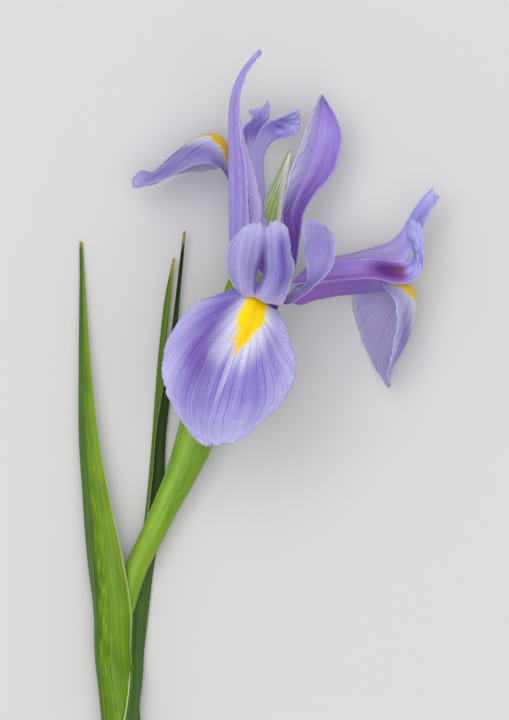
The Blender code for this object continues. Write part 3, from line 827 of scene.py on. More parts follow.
@dataclass
class Standard:
    """A standard: an upright, lance-shaped petal with a light edge.

    Args:
        name: The CAD node it stands for.
        stations: Points across it, from its foot to its tip.
        body: Main colour.
        base: Colour near the foot.
        light: How pale the edge at u = 0, the middle and the edge at u = 1 are; the left
            standard's pale far flank is painted light.
        glow: Colour of those pale parts.
        crease_shade: Middle, half width and strength of painted shade in a fold along the petal.
        reach: How far up the foot's colour reaches.
        seed: Makes the petal's unevenness its own.
        ruffles: Height of the edge's waves, in millimetres.
        glow_from: Where the pale parts begin along.
    """

    name: str
    stations: list[Station]
    body: Colour
    base: Colour
    light: tuple[float, float, float] = (0.5, 0.0, 0.5)
    glow: Colour = Hue.PALE
    crease_shade: tuple[float, float, float] = (0.5, 0.1, 0.0)
    reach: float = 0.5
    seed: float = 1.0
    ruffles: float = 0.5
    glow_from: float = 0.1

    def flow(self, u: float, v: float) -> tuple[float, float]:
        """Veins spread a little towards the tip."""
        return 0.5 + (u - 0.5) / (0.75 + 0.45 * v), v

    def place(self) -> Place:
        """The petal's surface, its outline slightly uneven and its tip nicked."""
        base = petal_surface(self.stations)

        def point(u: float, v: float, side: int) -> Vector:
            """The point at u and v."""
            outer = smooth(outward(u), 0.85, 1.0)
            nick = abs(waver(v * 34, u, self.seed)) * 0.08 * outer * smooth(v, 0.3, 0.5)
            nick *= 1.0 + 3.5 * smooth(v, 0.75, 1.0)
            tip = smooth(v, 0.94, 1.0)
            lift = abs(waver(u * 9, 0.3, self.seed + 3)) * 0.05 * tip
            return base(0.5 + (u - 0.5) * (1.0 - nick), v - lift, side)
        return point

    def ruffle(self, u: float, v: float, _side: int, point: Vector) -> float:
        """Soft waves near the edges and a fine midrib."""
        edge = smooth(outward(u), 0.2, 1.0) * smooth(v, 0.2, 0.5)
        broad = billow(point, 0.13, 0.13, 0.12, self.seed)
        fine = billow(point, 0.5, 0.4, 0.4, self.seed + 5)
        fold = waver(u * 7, v * 2.5, self.seed + 6)
        rib = 0.12 * hump(u, 0.5, 0.03) * (1.0 - smooth(v, 0.7, 0.95))
        return self.ruffles * (edge * (broad * 1.3 + fine * 0.7) + fold * 0.25) + rib

    def paint(self, u: float, v: float, _side: int) -> Tint:
        """Deeper at the foot, long light streaks, a pale edge; painted light on a flank, painted
        shade in a fold.
        """
        uneven = waver(u * 6, v * 3, self.seed + 2)
        streak = waver(u * 15, v * 2.2, self.seed + 6)
        colour = mix(self.base, self.body, smooth(v + uneven * 0.12, 0.05, self.reach))
        cloud = waver(u * 3, v * 8, self.seed + 9)
        colour = wash(
            colour, (Hue.PALE, max(streak, 0.0) * 0.35 + max(cloud, 0.0) * 0.3),
            (Hue.GRAPE, max(-streak, 0.0) * 0.35 + max(-cloud, 0.0) * 0.25))
        # On the left standard the pale far flank is painted light.
        pale = along(self.light, u)
        colour = mix(colour, self.glow, max(pale, 0.0)
                     * smooth(v, self.glow_from, self.glow_from + 0.2))
        # Painted shade in a fold along the petal.
        where, width, strength = self.crease_shade
        fold = hump(u + waver(v * 6, 0.0, self.seed) * 0.02, where, width)
        colour = mix(colour, Hue.PLUM, fold * strength * smooth(v, 0.15, 0.3)
                     * (1 - smooth(v, 0.5, 0.75)))
        edge = smooth(outward(u), 0.86, 1.0)
        colour = mix(colour, Hue.PALE, max(edge * 0.3, smooth(v, 0.93, 1.0) * 0.3))
        return (*colour, 1.0 - 0.3 * edge)

    def build(self, finish: Material) -> None:
        """Makes the standard and fixes it in place."""
        item = Sheet(f"{self.name}_petal", self.place(), self.paint, self.ruffle,
                     rows=140, columns=64, wall=0.38, flow=self.flow).build(finish)
        fit(item, "petal_lilac", self.name)


# ---------------------------------------------------------------- the style arms

@dataclass
class StyleArm:
    """A style arm: a keeled strap over its fall, parting at the end into two crests.

    Args:
        name: The CAD node it stands for.
        stations: Points across, foot to crest tips: five where the halves share the keel,
            six where they are parted.
        split: The station where the two crests part.
        strap: Colour of the strap.
        crest: Colour of the crests.
        blush: Share of pink where the crests begin.
        spot: Middle of a painted shadow, the anther's shade seen through the arm, as u and v, its
            size in each, and how strong it is.
        ragged: How deep the crests' ends are cut.
        seed: Makes the arm's unevenness its own.
        ruffles: Height of the crests' waves, in millimetres.
        backlit_wing: How much paler the half before the keel is than the other, painted as light
            shining through it.
        lobe_shade: How far the crest on each side, first and second, darkens along its middle, as
            painted shade.
        crinkle: Extra waves on each crest, in millimetres; it also scales their painted highlights
            and shade.
        crease_shade: How dark the painted shade is where the crests meet.
        band: How far the near half deepens to blue below its crest.
    """

    name: str
    stations: list[Station]
    split: int
    strap: Colour
    crest: Colour
    blush: float = 0.0
    spot: tuple[float, float, float, float, float] = (0.0, 0.0, 0.1, 0.1, 0.0)
    ragged: float = 0.03
    seed: float = 1.0
    ruffles: float = 0.5
    backlit_wing: float = 0.0
    lobe_shade: tuple[float, float] = (0.0, 0.0)
    crinkle: tuple[float, float] = (0.0, 0.0)
    crease_shade: float = 0.0
    band: float = 0.0

    @property
    def parting(self) -> float:
        """Where the crests part, as a share of the length."""
        return self.split / (len(self.stations) - 1)

    def lobe(self, u: float, v: float, side: int) -> float:
        """How near a point is to its lobe's edges, 0 in the middle and 1 at the edge."""
        if v <= self.parting:
            return outward(u)
        local = u * 2 if side < 0 else u * 2 - 1
        share = smooth(v, self.parting, self.parting + 0.1)
        return outward(u) * (1 - share) + outward(local) * share

    def place(self) -> Place:
        """The arm's surface, with finely scalloped crests."""
        base = arm_surface(self.stations, self.split)

        def point(u: float, v: float, side: int) -> Vector:
            """The point at u and v on one side of the keel."""
            tip = smooth(v, 0.9, 1.0)
            teeth = (abs(waver(u * 46, 0.0, self.seed + 3))
                     + 0.7 * abs(waver(u * 15, 1.0, self.seed + 4))) * self.ragged * tip
            outer = smooth(outward(u), 0.86, 1.0) * smooth(v, self.parting - 0.1, self.parting)
            nick = abs(waver(v * 34, u, self.seed)) * 0.06 * outer
            return base(0.5 + (u - 0.5) * (1.0 - nick), v - teeth, side)
        return point

    def ruffle(self, u: float, v: float, side: int, point: Vector) -> float:
        """Waves on the crests and fine crimps at their ends."""
        crest = smooth(v, self.parting - 0.1, self.parting + 0.15)
        edge = smooth(self.lobe(u, v, side), 0.3, 1.0)
        end = smooth(v, 0.85, 1.0)
        broad = billow(point, 0.18, 0.18, 0.2, self.seed)
        fine = billow(point, 0.7, 0.7, 0.5, self.seed + 7)
        fold = waver(u * 9, v * 3, self.seed + 8)
        wrinkle = waver(point.x * 0.55 + point.y * 0.3, point.y * 0.5, self.seed + 11)
        extra = self.crinkle[side > 0] * wrinkle * crest
        return self.ruffles * (crest * (broad * 1.2 * edge + fine * 0.7 * max(end, edge * 0.6))
                               + fold * 0.35) + extra

    def paint(self, u: float, v: float, side: int) -> Tint:
        """Violet strap, pale crests and the blush, with painted light and shade, and the spot, a
        painted shadow.
        """
        uneven = waver(u * 8, v * 6, self.seed + 2)
        streak = waver(u * 17, v * 2.5, self.seed + 6)
        crest = smooth(v + uneven * 0.04, self.parting - 0.1, self.parting + 0.06)
        colour = mix(self.strap, self.crest, crest)
        # The half before the keel is painted paler, as light shining through it.
        if u < 0.5:
            colour = mix(colour, Hue.GREY, self.backlit_wing * smooth(u, 0.5, 0.4) * (1 - crest))
        colour = wash(
            colour, (Hue.WINE, smooth(u, 0.68, 0.92) * 0.7 * (1 - crest)),
            (Hue.PALE, max(streak, 0.0) * 0.45), (Hue.DEEP, max(-streak, 0.0) * 0.4))
        past = smooth(v, self.parting, self.parting + 0.14)
        # Each crest is darkened along its middle: painted shade.
        amount = self.lobe_shade[0] if side < 0 else self.lobe_shade[1]
        local = (u * 2 if side < 0 else u * 2 - 1) + uneven * 0.1
        colour = mix(colour, Hue.DEEP, amount * past * hump(local, 0.62, 0.24)
                     * (1 - smooth(v, 0.84, 1.0)))
        # Light and dark streaks over the crinkles: painted highlights and shade.
        if self.crinkle[side > 0]:
            wrinkle = waver(u * 9 + v * 22, v * 14, self.seed + 12) * past
            wrinkle *= min(self.crinkle[side > 0] * 1.3, 1.0)
            colour = wash(
                colour, (Hue.PALE, max(wrinkle, 0.0) * 1.2), (Hue.DUSK, max(-wrinkle, 0.0) * 0.9))
        if u > 0.5:
            colour = mix(colour, Hue.DEEP, self.band
                         * hump(v + 0.02 + uneven * 0.05, self.parting, 0.09))
        edge = max(smooth(self.lobe(u, v, side), 0.84, 1.0), smooth(v, 0.83, 1.0))
        colour = mix(colour, Hue.PALE, edge * 0.5 * (0.4 + 0.6 * past))
        # Painted shade where the two crests meet.
        inner = smooth(abs(u - 0.5) + uneven * 0.01, 0.1, 0.02) * (1 - smooth(v, 0.8, 0.97))
        colour = mix(colour, Hue.DUSK, inner * self.crease_shade * past ** 0.35)
        keel = hump(u, 0.5, 0.012) * (1 - past)
        colour = mix(colour, Hue.PALE, keel * 0.3)
        near = hump(v, self.parting, 0.035)
        colour = mix(colour, Hue.PINK, self.blush * near)
        # The spot is a painted shadow: the anther's shade seen through the arm, plum with a maroon
        # middle.
        place_u, place_v, wide, long, share = self.spot
        if share:
            far = math.hypot((u - place_u) / wide, (v - place_v) / long)
            colour = mix(colour, Hue.PLUM, share * smooth(far + uneven * 0.15, 1.3, 0.25))
            shade_middle = math.hypot((u - place_u) / wide, (v - place_v - long * 0.6) / long * 1.5)
            colour = mix(colour, Hue.SHADE_MAROON, share * 0.8 * smooth(shade_middle + uneven * 0.2, 1.1, 0.1))
        return (*colour, 0.6 + 0.3 * past - 0.3 * edge)

    def build(self, face: Material) -> None:
        """Makes the arm and fixes it in place."""
        spans = len(self.stations) - 1
        item = Sheet(f"{self.name}_crest", self.place(), self.paint, self.ruffle,
                     rows=spans * 18, columns=96, wall=0.38, parting=self.parting).build(face)
        fit(item, "crest_pale", self.name)


# ---------------------------------------------------------------- stamens and the tube

class Side(Enum):
    """Which of the flower's three units a stamen belongs to."""

    RIGHT = "right"
    LEFT = "left"
    FRONT = "front"


@dataclass
class Stamen:
    """A thread and the pollen-dusted anther at its end, lying under a style arm."""

    side: Side
    thread: list
    anther: list
    thread_radius: float = 0.45
    anther_radius: float = 0.95

    def build(self, thread_finish: Material, anther_finish: Material,
              pollen: Tree) -> None:
        """Makes both pieces, with grains of pollen over the anther.

        Args:
            thread_finish: Material of the thread.
            anther_finish: Material of the anther.
            pollen: The node tree that strews grains.
        """
        label = self.side.value
        radius = self.thread_radius
        thread = Rod(f"filament_{label}_thread", self.thread, [radius, radius, radius * 0.8],
                     lambda turn, place: (*mix(Hue.PALE, Hue.LILAC, place), 0.3),
                     rings=36, sides=16).build(thread_finish)
        fit(thread, "crest_pale", f"filament_{label}")
        reach = self.anther_radius
        anther = Rod(f"anther_{label}_lobes", self.anther,
                     [reach * 0.75, reach, reach * 0.6],
                     lambda turn, place: (*mix(Hue.POLLEN, Hue.HALO, 0.2), 0.6),
                     lambda turn, place: 0.8 + 0.2 * abs(math.sin(2 * math.pi * turn)),
                     rings=36, sides=24).build(anther_finish)
        strew = anther.modifiers.new("pollen", "NODES")
        strew.node_group = pollen
        amounts = {"Grains per square metre": GRAIN_DENSITY, "Grain radius": GRAIN_RADIUS}
        for socket in pollen.interface.items_tree:
            if socket.name in amounts:
                strew[socket.identifier] = amounts[socket.name]
        graph = bpy.context.evaluated_depsgraph_get()
        mesh = bpy.data.meshes.new_from_object(anther.evaluated_get(graph), depsgraph=graph)
        anther.modifiers.clear()
        anther.data = mesh
        fit(anther, "pollen_cream", f"anther_{label}")


def pollen_tree(material: Material) -> Tree:
    """A Geometry Nodes tree that strews small grains over a piece.

    Args:
        material: The grains' material.

    Returns:
        The tree, with the number and size of the grains as inputs.
    """
    tree = bpy.data.node_groups.new("pollen_grains", "GeometryNodeTree")
    for way in ("INPUT", "OUTPUT"):
        tree.interface.new_socket("Geometry", in_out=way, socket_type="NodeSocketGeometry")
    for label in ("Grains per square metre", "Grain radius"):
        tree.interface.new_socket(label, in_out="INPUT", socket_type="NodeSocketFloat")
    come = tree.nodes.new("NodeGroupInput").outputs
    go = tree.nodes.new("NodeGroupOutput").inputs
    strew = tree.nodes.new("GeometryNodeDistributePointsOnFaces")
    strew.inputs["Seed"].default_value = 7
    grain = tree.nodes.new("GeometryNodeMeshIcoSphere")
    grain.inputs["Subdivisions"].default_value = 1
    lay = tree.nodes.new("GeometryNodeInstanceOnPoints")
    real = tree.nodes.new("GeometryNodeRealizeInstances")
    join = tree.nodes.new("GeometryNodeJoinGeometry")
    dress = tree.nodes.new("GeometryNodeSetMaterial")
    dress.inputs["Material"].default_value = material
    for start, end in ((come[0], strew.inputs["Mesh"]), (come[1], strew.inputs["Density"]),
                       (come[2], grain.inputs["Radius"]),
                       (strew.outputs["Points"], lay.inputs["Points"]),
                       (grain.outputs["Mesh"], lay.inputs["Instance"]),
                       (lay.outputs[0], join.inputs[0]), (come[0], join.inputs[0]),
                       (join.outputs[0], real.inputs[0]), (real.outputs[0], dress.inputs[0]),
                       (dress.outputs[0], go[0])):
        tree.links.new(start, end)
    return tree


@dataclass
class Heart:
    """The middle of the flower: its tube, the style column, the ovary and the pedicel."""

    pedicel: list = field(default_factory=lambda: [
        (-27.1, -51.7, -13.4), (-22.4, -41.0, -13.2), (-17.4, -30.0, -13.2),
        (-13.2, -20.0, -12.2), (-10.4, -13.2, -10.3)])
    pedicel_radii: list = field(default_factory=lambda: [1.4, 1.3, 1.3, 1.4, 1.6])
    ovary_radii: list = field(default_factory=lambda: [1.6, 2.1, 2.4, 2.4, 2.2, 1.9])

    def build(self, green: Material, petal: Material,
              pale: Material) -> None:
        """Makes the four pieces.

        Args:
            green: Material of the ovary and pedicel.
            petal: Material of the tube.
            pale: Material of the column.
        """
        tube = Rod("perianth_tube_skin", [AXIS * lift for lift in (-2.3, -0.5, 1.3, 3.1)],
                   [2.1, 2.25, 2.45, 2.95],
                   lambda turn, place: (*mix(Hue.SPATHE, Hue.VIOLET, place), 0.8),
                   fluted(6, 0.06),
                   rings=20, sides=60, dome=(0.1, 0.1)).build(petal)
        fit(tube, "petal_lilac", "perianth_tube")
        column = Rod("style_column_skin", [AXIS * 2.4, AXIS * 4.4, AXIS * 6.4], [1.1, 1.1, 1.1],
                     lambda turn, place: (*Hue.PALE, 0.5),
                     fluted(3, 0.1),
                     rings=20, sides=36, dome=(0.1, 0.2)).build(pale)
        fit(column, "crest_pale", "style_column")
        ovary = Rod("ovary_skin", [AXIS * (-18.6 + 3.24 * step) for step in range(6)],
                    self.ovary_radii,
                    lambda turn, place: (*mix(Hue.SPATHE_CORE, Hue.SPATHE, 0.5 + 0.5 * math.cos(
                        6 * math.pi * turn)), 0.6),
                    fluted(3, 0.09),
                    rings=60, sides=48, dome=(0.1, 0.05)).build(green)
        fit(ovary, "spathe_green", "ovary")
        stalk = Rod("pedicel_skin", self.pedicel, self.pedicel_radii,
                    lambda turn, place: (*mix(Hue.SPATHE, Hue.SPATHE_CORE, place), 0.5),
                    rings=60, sides=28).build(green)
        fit(stalk, "spathe_green", "pedicel")


# ---------------------------------------------------------------- the green parts

@dataclass
class Stem:
    """The flower stem, round and faintly ribbed, ending in a clean cut."""

    line: list
    radii: list
    ribs: int = 14

    def paint(self, turn: float, place: float) -> Tint:
        """Green skin, darker towards the cut end; pale pith with a green ring on the cut."""
        if place < 0.0:
            ring = hump(turn, 0.88, 0.08)
            return (*mix(Hue.PITH, Hue.STEM, ring * 0.8), 0.1)
        bloom = waver(turn * 3, place * 12, 4.0)
        colour = mix(Hue.STEM, Hue.SPATHE_LIT, 0.15 + bloom * 0.2)
        return (*mix(colour, Hue.LEAF, smooth(place, 0.25, 0.1) * 0.5), 0.8)

    def build(self, green: Material) -> None:
        """Makes the stem and fixes it in place."""
        item = Rod("stem_skin", self.line, self.radii, self.paint, fluted(self.ribs, 0.02),
                   rings=150, sides=56, dome=(0.04, 0.3)).build(green)
        fit(item, "stem_green", "stem")


class Skin(Enum):
    """The look of a leaf or valve."""

    BRIGHT = "bright"
    DARK = "dark"
    SPATHE = "spathe"
    SPATHE_TIP = "spathe_tip"


@dataclass
class Blade:
    """A leaf or spathe valve: a long blade that rolls round the stem at its foot.

    Args:
        name: The CAD node it stands for.
        stations: A midpoint, width, wrap and turn at each place from foot to tip.
        skin: Its look.
        slot: The record's material slot for the piece.
        rows: Grid cells along.
        columns: Grid cells across.
        wall: Thickness in the middle, in millimetres.
        keel: Height of the fold along it, in millimetres.
        lift: How far a dark leaf tends to a bluer, lighter green.
        seed: Makes the blade's unevenness its own.
    """

    name: str
    stations: list
    skin: Skin
    slot: str
    rows: int = 200
    columns: int = 40
    wall: float = 0.5
    keel: float = 0.0
    lift: float = 0.0
    seed: float = 1.0

    def ruffle(self, u: float, v: float, _side: int, point: Vector) -> float:
        """Long soft bends, and fine ribs that run lengthwise."""
        bend = waver(point.y * 0.05, u * 2, self.seed) * 0.25
        ribs = math.cos(2 * math.pi * 13 * u) * 0.03
        fold = self.keel * hump(u, 0.36, 0.05) * smooth(v, 0.25, 0.5)
        return bend * smooth(v, 0.35, 0.6) + ribs + fold

    def paint(self, u: float, v: float, _side: int) -> Tint:
        """Colour over the blade, by its kind."""
        blotch = waver(u * 44, v * 46, self.seed) + 0.5 * waver(u * 14, v * 16, self.seed + 1)
        cloud = waver(u * 4, v * 16, self.seed + 5)
        streak = waver(u * 17, v * 5, self.seed + 2)
        veins = 1.0
        edge = smooth(outward(u), 0.94, 1.0)
        if self.skin is Skin.BRIGHT:
            # The right flank is painted lighter, the left flank darker and bluer: painted light,
            # shade and sheen on the folded leaf.
            colour = mix(Hue.LEAF, Hue.LEAF_LIT, (smooth(u, 0.45, 0.9) * 0.55
                         + max(streak, 0.0) * 0.6) * (0.35 + 0.65 * smooth(v, 0.25, 0.5)))
            band = hump(u, 0.52, 0.12) * (1 - smooth(v, 0.6, 0.75))
            colour = wash(
                colour, (Hue.LEAF_DARK, max(-cloud, 0.0) * 0.35),
                (Hue.LEAF_FLECK, smooth(blotch, -0.05, 0.5) * band * 0.5),
                (Hue.LEAF_BLUE, smooth(u, 0.42, 0.3) * 0.9),
                (Hue.LEAF_DARK, smooth(abs(u - 0.38), 0.05, 0.0) * 0.35 + max(-streak, 0.0) * 0.35
                 + max(-cloud, 0.0) * 0.15), (Hue.LEAF_DARK, smooth(u, 0.05, 0.0) * 0.4),
                (Hue.PITH, smooth(u, 0.955, 1.0) * 0.8), (Hue.STRAW, smooth(v, 0.985, 1.0)))
        elif self.skin is Skin.DARK:
            # The pale strip along the left margin is a painted highlight on the edge.
            colour = wash(
                Hue.LEAF_DARK, (Hue.LEAF_BLUE, self.lift),
                (Hue.LEAF_BLUE, smooth(v, 0.62, 0.45) * 0.75), (Hue.LEAF_LIT, self.lift * 0.4),
                (Hue.LEAF_DARK, max(-streak, 0.0) * 0.5), (Hue.PITH, smooth(u, 0.06, 0.0) * 0.7),
                (Hue.STRAW, smooth(v + streak * 0.02, 0.945, 0.985)))
        else:
            # A lighter band at u 0.40 is a painted highlight, and the darker band at u 0.56 is
            # painted shade on the rolled valve.
            colour = wash(
                Hue.SPATHE, (Hue.SPATHE_CORE, smooth(abs(u - 0.56), 0.14, 0.0) * 0.8),
                (Hue.SPATHE_LIT, smooth(abs(u - 0.40), 0.1, 0.0) * 0.5),
                (Hue.LEAF_DARK, max(-blotch, 0.0) * 0.16 + max(-cloud, 0.0) * 0.12),
                (Hue.SPATHE_LIT, max(streak, 0.0) * 0.5 + max(blotch, 0.0) * 0.25),
                (Hue.SPATHE_LIT, smooth(v, 0.45, 0.75) * 0.4),
                (Hue.LEAF_LIT, smooth(v, 0.4, 0.15) * 0.5), (Hue.PAPER, edge * 0.55))
            veins = 0.8
            if self.skin is Skin.SPATHE_TIP:
                # The tip is painted lighter from the middle up: painted light that offsets the
                # fall's shadow.
                colour = wash(
                    colour, (Hue.SPATHE_LIT, smooth(v, 0.45, 0.7) * 0.8),
                    (Hue.PAPER, smooth(v, 0.72, 0.85) * 0.1))
                dry = smooth(v + (0.5 - u) * 0.3 + streak * 0.04, 0.85, 0.95)
                colour = wash(
                    colour, (Hue.PAPER, dry * 0.95),
                    (Hue.PAPER, smooth(streak, 0.0, 0.4) * 0.75 * smooth(v, 0.68, 0.8)),
                    (Hue.STRAW, smooth(v, 0.985, 1.0) * 0.8))
        return (*colour, veins)

    def build(self, face: Material) -> None:
        """Makes the blade and fixes it in place."""
        item = Sheet(f"{self.name}_blade", strip_surface(self.stations), self.paint, self.ruffle,
                     self.rows, self.columns, self.wall, thin=0.4).build(face)
        fit(item, self.slot, self.name)


# ---------------------------------------------------------------- where everything goes

FALL_RIGHT = [
    claw(0, -30, 2.9),
    ((7.2, -2, -3.4), (7.6, 0, -1.6), (8, 3.4, 2)),
    ((13, -0.5, -6.8), (13.4, 1.2, -3.8), (13.8, 4.8, 1.7)),
    ((23, 1.5, -10), (24, 1.6, -5.6), (24, 6, 0.4)),
    ((29, 2.6, -13.5), (34, 2.6, -7.6), (31, 6.6, -0.6)),
    ((25.4, 2.2, -18), (40.6, 3.9, -8.2), (33.2, 3, 3.6)),
    ((24, -1.5, -20.4), (42.6, 0, -8.6), (36.4, -1, 7.2)),
    ((24.8, -6.2, -21.6), (42, -5.6, -9), (37, -6.2, 8)),
    ((26.6, -11.5, -21.4), (40.6, -11.2, -9.2), (36.6, -11.5, 7)),
    ((28.6, -16.5, -20), (38.4, -16.3, -9.4), (35.7, -16.5, 5)),
    ((30.5, -20.8, -17), (36.2, -20.2, -9.6), (34.6, -20.5, 1)),
    ((32.7, -23.8, -13.6), (35, -24.2, -10.2), (34.4, -23.6, -6)),
    ((34, -26.6, -11.8), (34.6, -27, -10.5), (35, -26.6, -9.4)),
]
FALL_LEFT = [
    claw(120, -30, 2.9)[::-1],
    ((-2.8, 13.6, -6.8), (-5.8, 14, -4.4), (-7, 13.4, -1.6)),
    ((-5.8, 27.5, -10.4), (-9, 27.5, -6.8), (-11.4, 26.5, -2.5)),
    ((-10.5, 37, -14.6), (-12.4, 40, -7), (-13.4, 35, 0.2)),
    ((-14.2, 39.8, -18.6), (-14.6, 47.2, -6.4), (-16.2, 39.3, 5)),
    ((-19, 38.6, -20.6), (-19, 49.3, -5.6), (-20.4, 40.7, 7.4)),
    ((-25, 38.2, -21.6), (-25, 46.7, -5.4), (-25.6, 38.9, 7.6)),
    ((-30.5, 37, -20), (-31, 42.2, -6), (-31, 36.6, 6)),
    ((-35, 35.2, -16), (-36, 37.8, -6.6), (-36, 34.7, 2.6)),
    ((-39.4, 33.6, -11.6), (-39.8, 38.2, -7), (-39.9, 33.2, -1.8)),
    ((-42, 33.2, -9.4), (-42.6, 35.6, -7.2), (-42.3, 33.5, -5)),
]
FALL_FRONT = [
    (rim(-150, 2.9), rim(-135, 2.9), rim(-120, 2.9), rim(-105, 2.9), rim(-90, 2.9)),
    ((-6.4, 0.2, 13), (-4.6, -1.6, 14), (-2.6, -2.7, 14.4), (-0.4, -3.5, 14),
     (1.4, -3.6, 13)),
    ((-9.4, 1.4, 27.5), (-7.2, -0.8, 28.4), (-4.7, -2.2, 28.6), (-2, -3.5, 28.4),
     (0.6, -4.4, 27.5)),
    ((-11, 2.6, 36), (-8.6, 2.2, 37.8), (-6, 1.4, 38.6), (-3.4, -0.6, 38),
     (0.4, -4.2, 36.6)),
    ((-13.6, 1.8, 38), (-9.8, 0.6, 41), (-6.3, -0.8, 41.8), (-2.8, -3.4, 41.2),
     (1.6, -4.4, 39)),
    ((-24, -2.6, 36.8), (-16.5, -4.5, 40.2), (-8.2, -8, 43.6), (-2, -8.6, 43),
     (3.8, -9, 40.6)),
    ((-31.5, -12.5, 35.6), (-22, -13.5, 39.2), (-11, -15, 44.6), (-2.5, -14.5, 44),
     (6, -16, 41)),
    ((-33.1, -21.5, 35.6), (-23.5, -22, 39.2), (-14, -23, 44.8), (-4, -22, 44),
     (6.8, -22.4, 41)),
    ((-31, -30, 36), (-24, -30.5, 39.6), (-16.8, -31, 43.6), (-6.5, -29.8, 43.2),
     (4, -29.5, 40.4)),
    ((-27.2, -37, 36.6), (-22.8, -38, 38.8), (-18.6, -38.4, 41.6), (-10, -37, 41.2),
     (-3.5, -37.2, 39)),
    ((-23.4, -42, 37), (-21, -43.8, 38), (-18, -44.4, 39), (-13.5, -43.8, 38.8),
     (-9, -41.9, 38)),
]
STANDARD_LEFT = [
    claw(180, -13, 2.3, 3.2),
    ((-4.8, 2, 5.6), (-6.6, 3, 3.4), (-5.4, 4.8, 2.4)),
    ((-8.4, 6, 10.4), (-11.8, 6.2, 5.6), (-7, 9, 3.8)),
    ((-7.4, 16, 16), (-13, 16, 7.6), (-5, 18.5, 3.4)),
    ((-7.5, 27, 19), (-13, 27, 9.2), (-3.2, 27.5, 3)),
    ((-8, 38, 20.4), (-13.2, 38, 11), (-5.8, 38.5, 4.6)),
    ((-9.4, 49, 21), (-13.3, 49, 13), (-9.2, 50, 7.6)),
    ((-9.8, 58.5, 21), (-12.8, 58.8, 15.2), (-9.7, 59, 10.8)),
    ((-8, 66.3, 20.6), (-9.8, 66.8, 17.6), (-8.1, 66.6, 15)),
    ((-3.2, 73.6, 20.6), (-4, 74.1, 20), (-3.1, 73.2, 19.2)),
]
STANDARD_BACK = [
    claw(60, 13, 2.3, 3.2),
    ((4, 8.2, -2.6), (5, 8.4, -4.2), (6.2, 7.6, -3.2)),
    ((4.8, 17, -3.2), (6.6, 17.5, -5.2), (8, 17.4, -3.2)),
    ((2.7, 24, -1.6), (5.8, 25, -6), (9.2, 24.6, -3.2)),
    ((3.5, 30.5, -1), (7.8, 31, -6.6), (12.8, 31, -3.2)),
    ((5.3, 37.5, -0.6), (11.4, 38, -7), (18.3, 37.8, -3.6)),
    ((7.8, 45.4, -0.2), (14, 46, -7), (20.9, 47.2, -3.4)),
    ((11, 52.4, 0.2), (14.8, 53, -5.6), (19.8, 52.8, -3.2)),
    ((12.8, 58.2, 1), (15, 58.6, -3.4), (17.2, 57.4, -2.2)),
    ((14.1, 60.8, 1), (14.7, 61.2, 0), (15.3, 60.4, -0.6)),
]
STANDARD_FRONT = [
    claw(-60, 13, 2.3, 3.2),
    ((3, -1.6, 5.6), (3.6, -0.6, 5.6), (4.2, 0.5, 5.4)),
    ((5.4, -1.7, 14), (6, 0.4, 12.6), (6.6, 2.6, 13)),
    ((12, 2.7, 22), (10.6, 4, 18), (9.3, 4.2, 19)),
    ((16.8, 8, 25), (13.2, 8, 20.4), (9.9, 8.4, 22.6)),
    ((18.8, 14.4, 27.2), (13.6, 14, 22.6), (8.9, 13.6, 26)),
    ((17.7, 18.8, 29), (13.2, 18.8, 26), (8.7, 18.4, 29)),
    ((15.2, 21.4, 30.4), (12, 23, 29.4), (8.6, 22.3, 30.6)),
]
ARM_RIGHT = [
    ((6.4, 5, 1.6), (6.2, 5.2, 2.4), (6, 5.2, 3.2), (6, 4.7, 4), (6.2, 4.2, 4.6)),
    ((12, 10.6, -1.8), (12, 10.2, 0.4), (12, 9.2, 2), (11.8, 7.1, 4), (11.5, 4.7,
     5)),
    ((22, 13, -3.6), (22, 12.2, -1), (22, 10.9, 1), (21.8, 8.1, 3.4), (21.5, 5.3,
     4.8)),
    ((30, 15.2, -5.6), (30, 13.6, -2.6), (30, 11.6, -0.4), (30, 8.7, 2.4), (30, 5.6,
     4)),
    ((35.5, 17.3, -7), (36, 14.2, -4), (36.4, 10.9, -1.4), (36.6, 7.4, 1.8), (36.5, 4.2,
     3.5)),
    ((38.9, 20.8, -7.6), (39.4, 16.2, -4.6), (39.8, 11.5, -1.6), (40.9, 8.2, 1.8), (41.3, 4.6,
     3.2)),
    ((40.6, 24, -7.9), (41.4, 20.6, -6.2), (42.1, 15.8, -3.6), (41.9, 13, -0.4), (43.6,
     11.4, 3), (44.6, 8, 3.6)),
    ((44, 29.2, -8), (45.4, 27, -6.6), (46.6, 24, -4), (40.9, 18.8, 0.4), (43, 17.2,
     3), (45.2, 15, 3.2)),
    ((48.6, 33.8, -7.2), (49.2, 31.6, -6.2), (50.6, 30.4, -4.8), (41.6, 24.2, 1), (43.6, 23.6,
     2.4), (45.4, 21.6, 2)),
]
ARM_LEFT = [
    ((4.6, 6.9, 2.4), (4, 7, 3.2), (3.2, 6.9, 3.9), (2.5, 6.6, 4.3), (1.9, 6.1, 4.6)),
    ((3, 13.6, -1.2), (2.2, 13.6, 0.8), (1, 13.4, 2), (-0.4, 13, 2.9), (-1.5, 12.5,
     3.2)),
    ((-2.4, 23.4, -6), (-2.8, 24.6, -3.6), (-3.8, 25.2, -2), (-5.3, 25, -0.4), (-6.6,
     24.5, 0.6)),
    ((-2.6, 33, -8.2), (-3.4, 34.6, -5.6), (-5, 35.6, -3.8), (-7, 35.6, -1.8), (-8.8,
     35, -0.6)),
    ((-2.8, 42, -8.8), (-3.8, 43.6, -6.2), (-5.6, 45.2, -3.8), (-7.8, 44.8, -1.8), (-9.4,
     44, -0.8)),
    ((-0.2, 47, -9.2), (-1.6, 49.6, -7), (-3.3, 51.4, -3.4), (-6.4, 51.6, -1.4), (-9,
     50.6, -0.4)),
    ((4.2, 48.6, -9.2), (2.6, 51.6, -8.6), (1.6, 54.4, -3.6), (-1.1, 54, -2), (-3.6, 54.6,
     -0.2), (-6.2, 53.9, 0.6)),
    ((7.4, 49.2, -8.2), (8.8, 53.4, -6.4), (7.6, 57, -2.2), (-1.2, 59.6, 0.2), (-3.6, 57.3,
     1.4), (-8.2, 56.4, 1.8)),
]
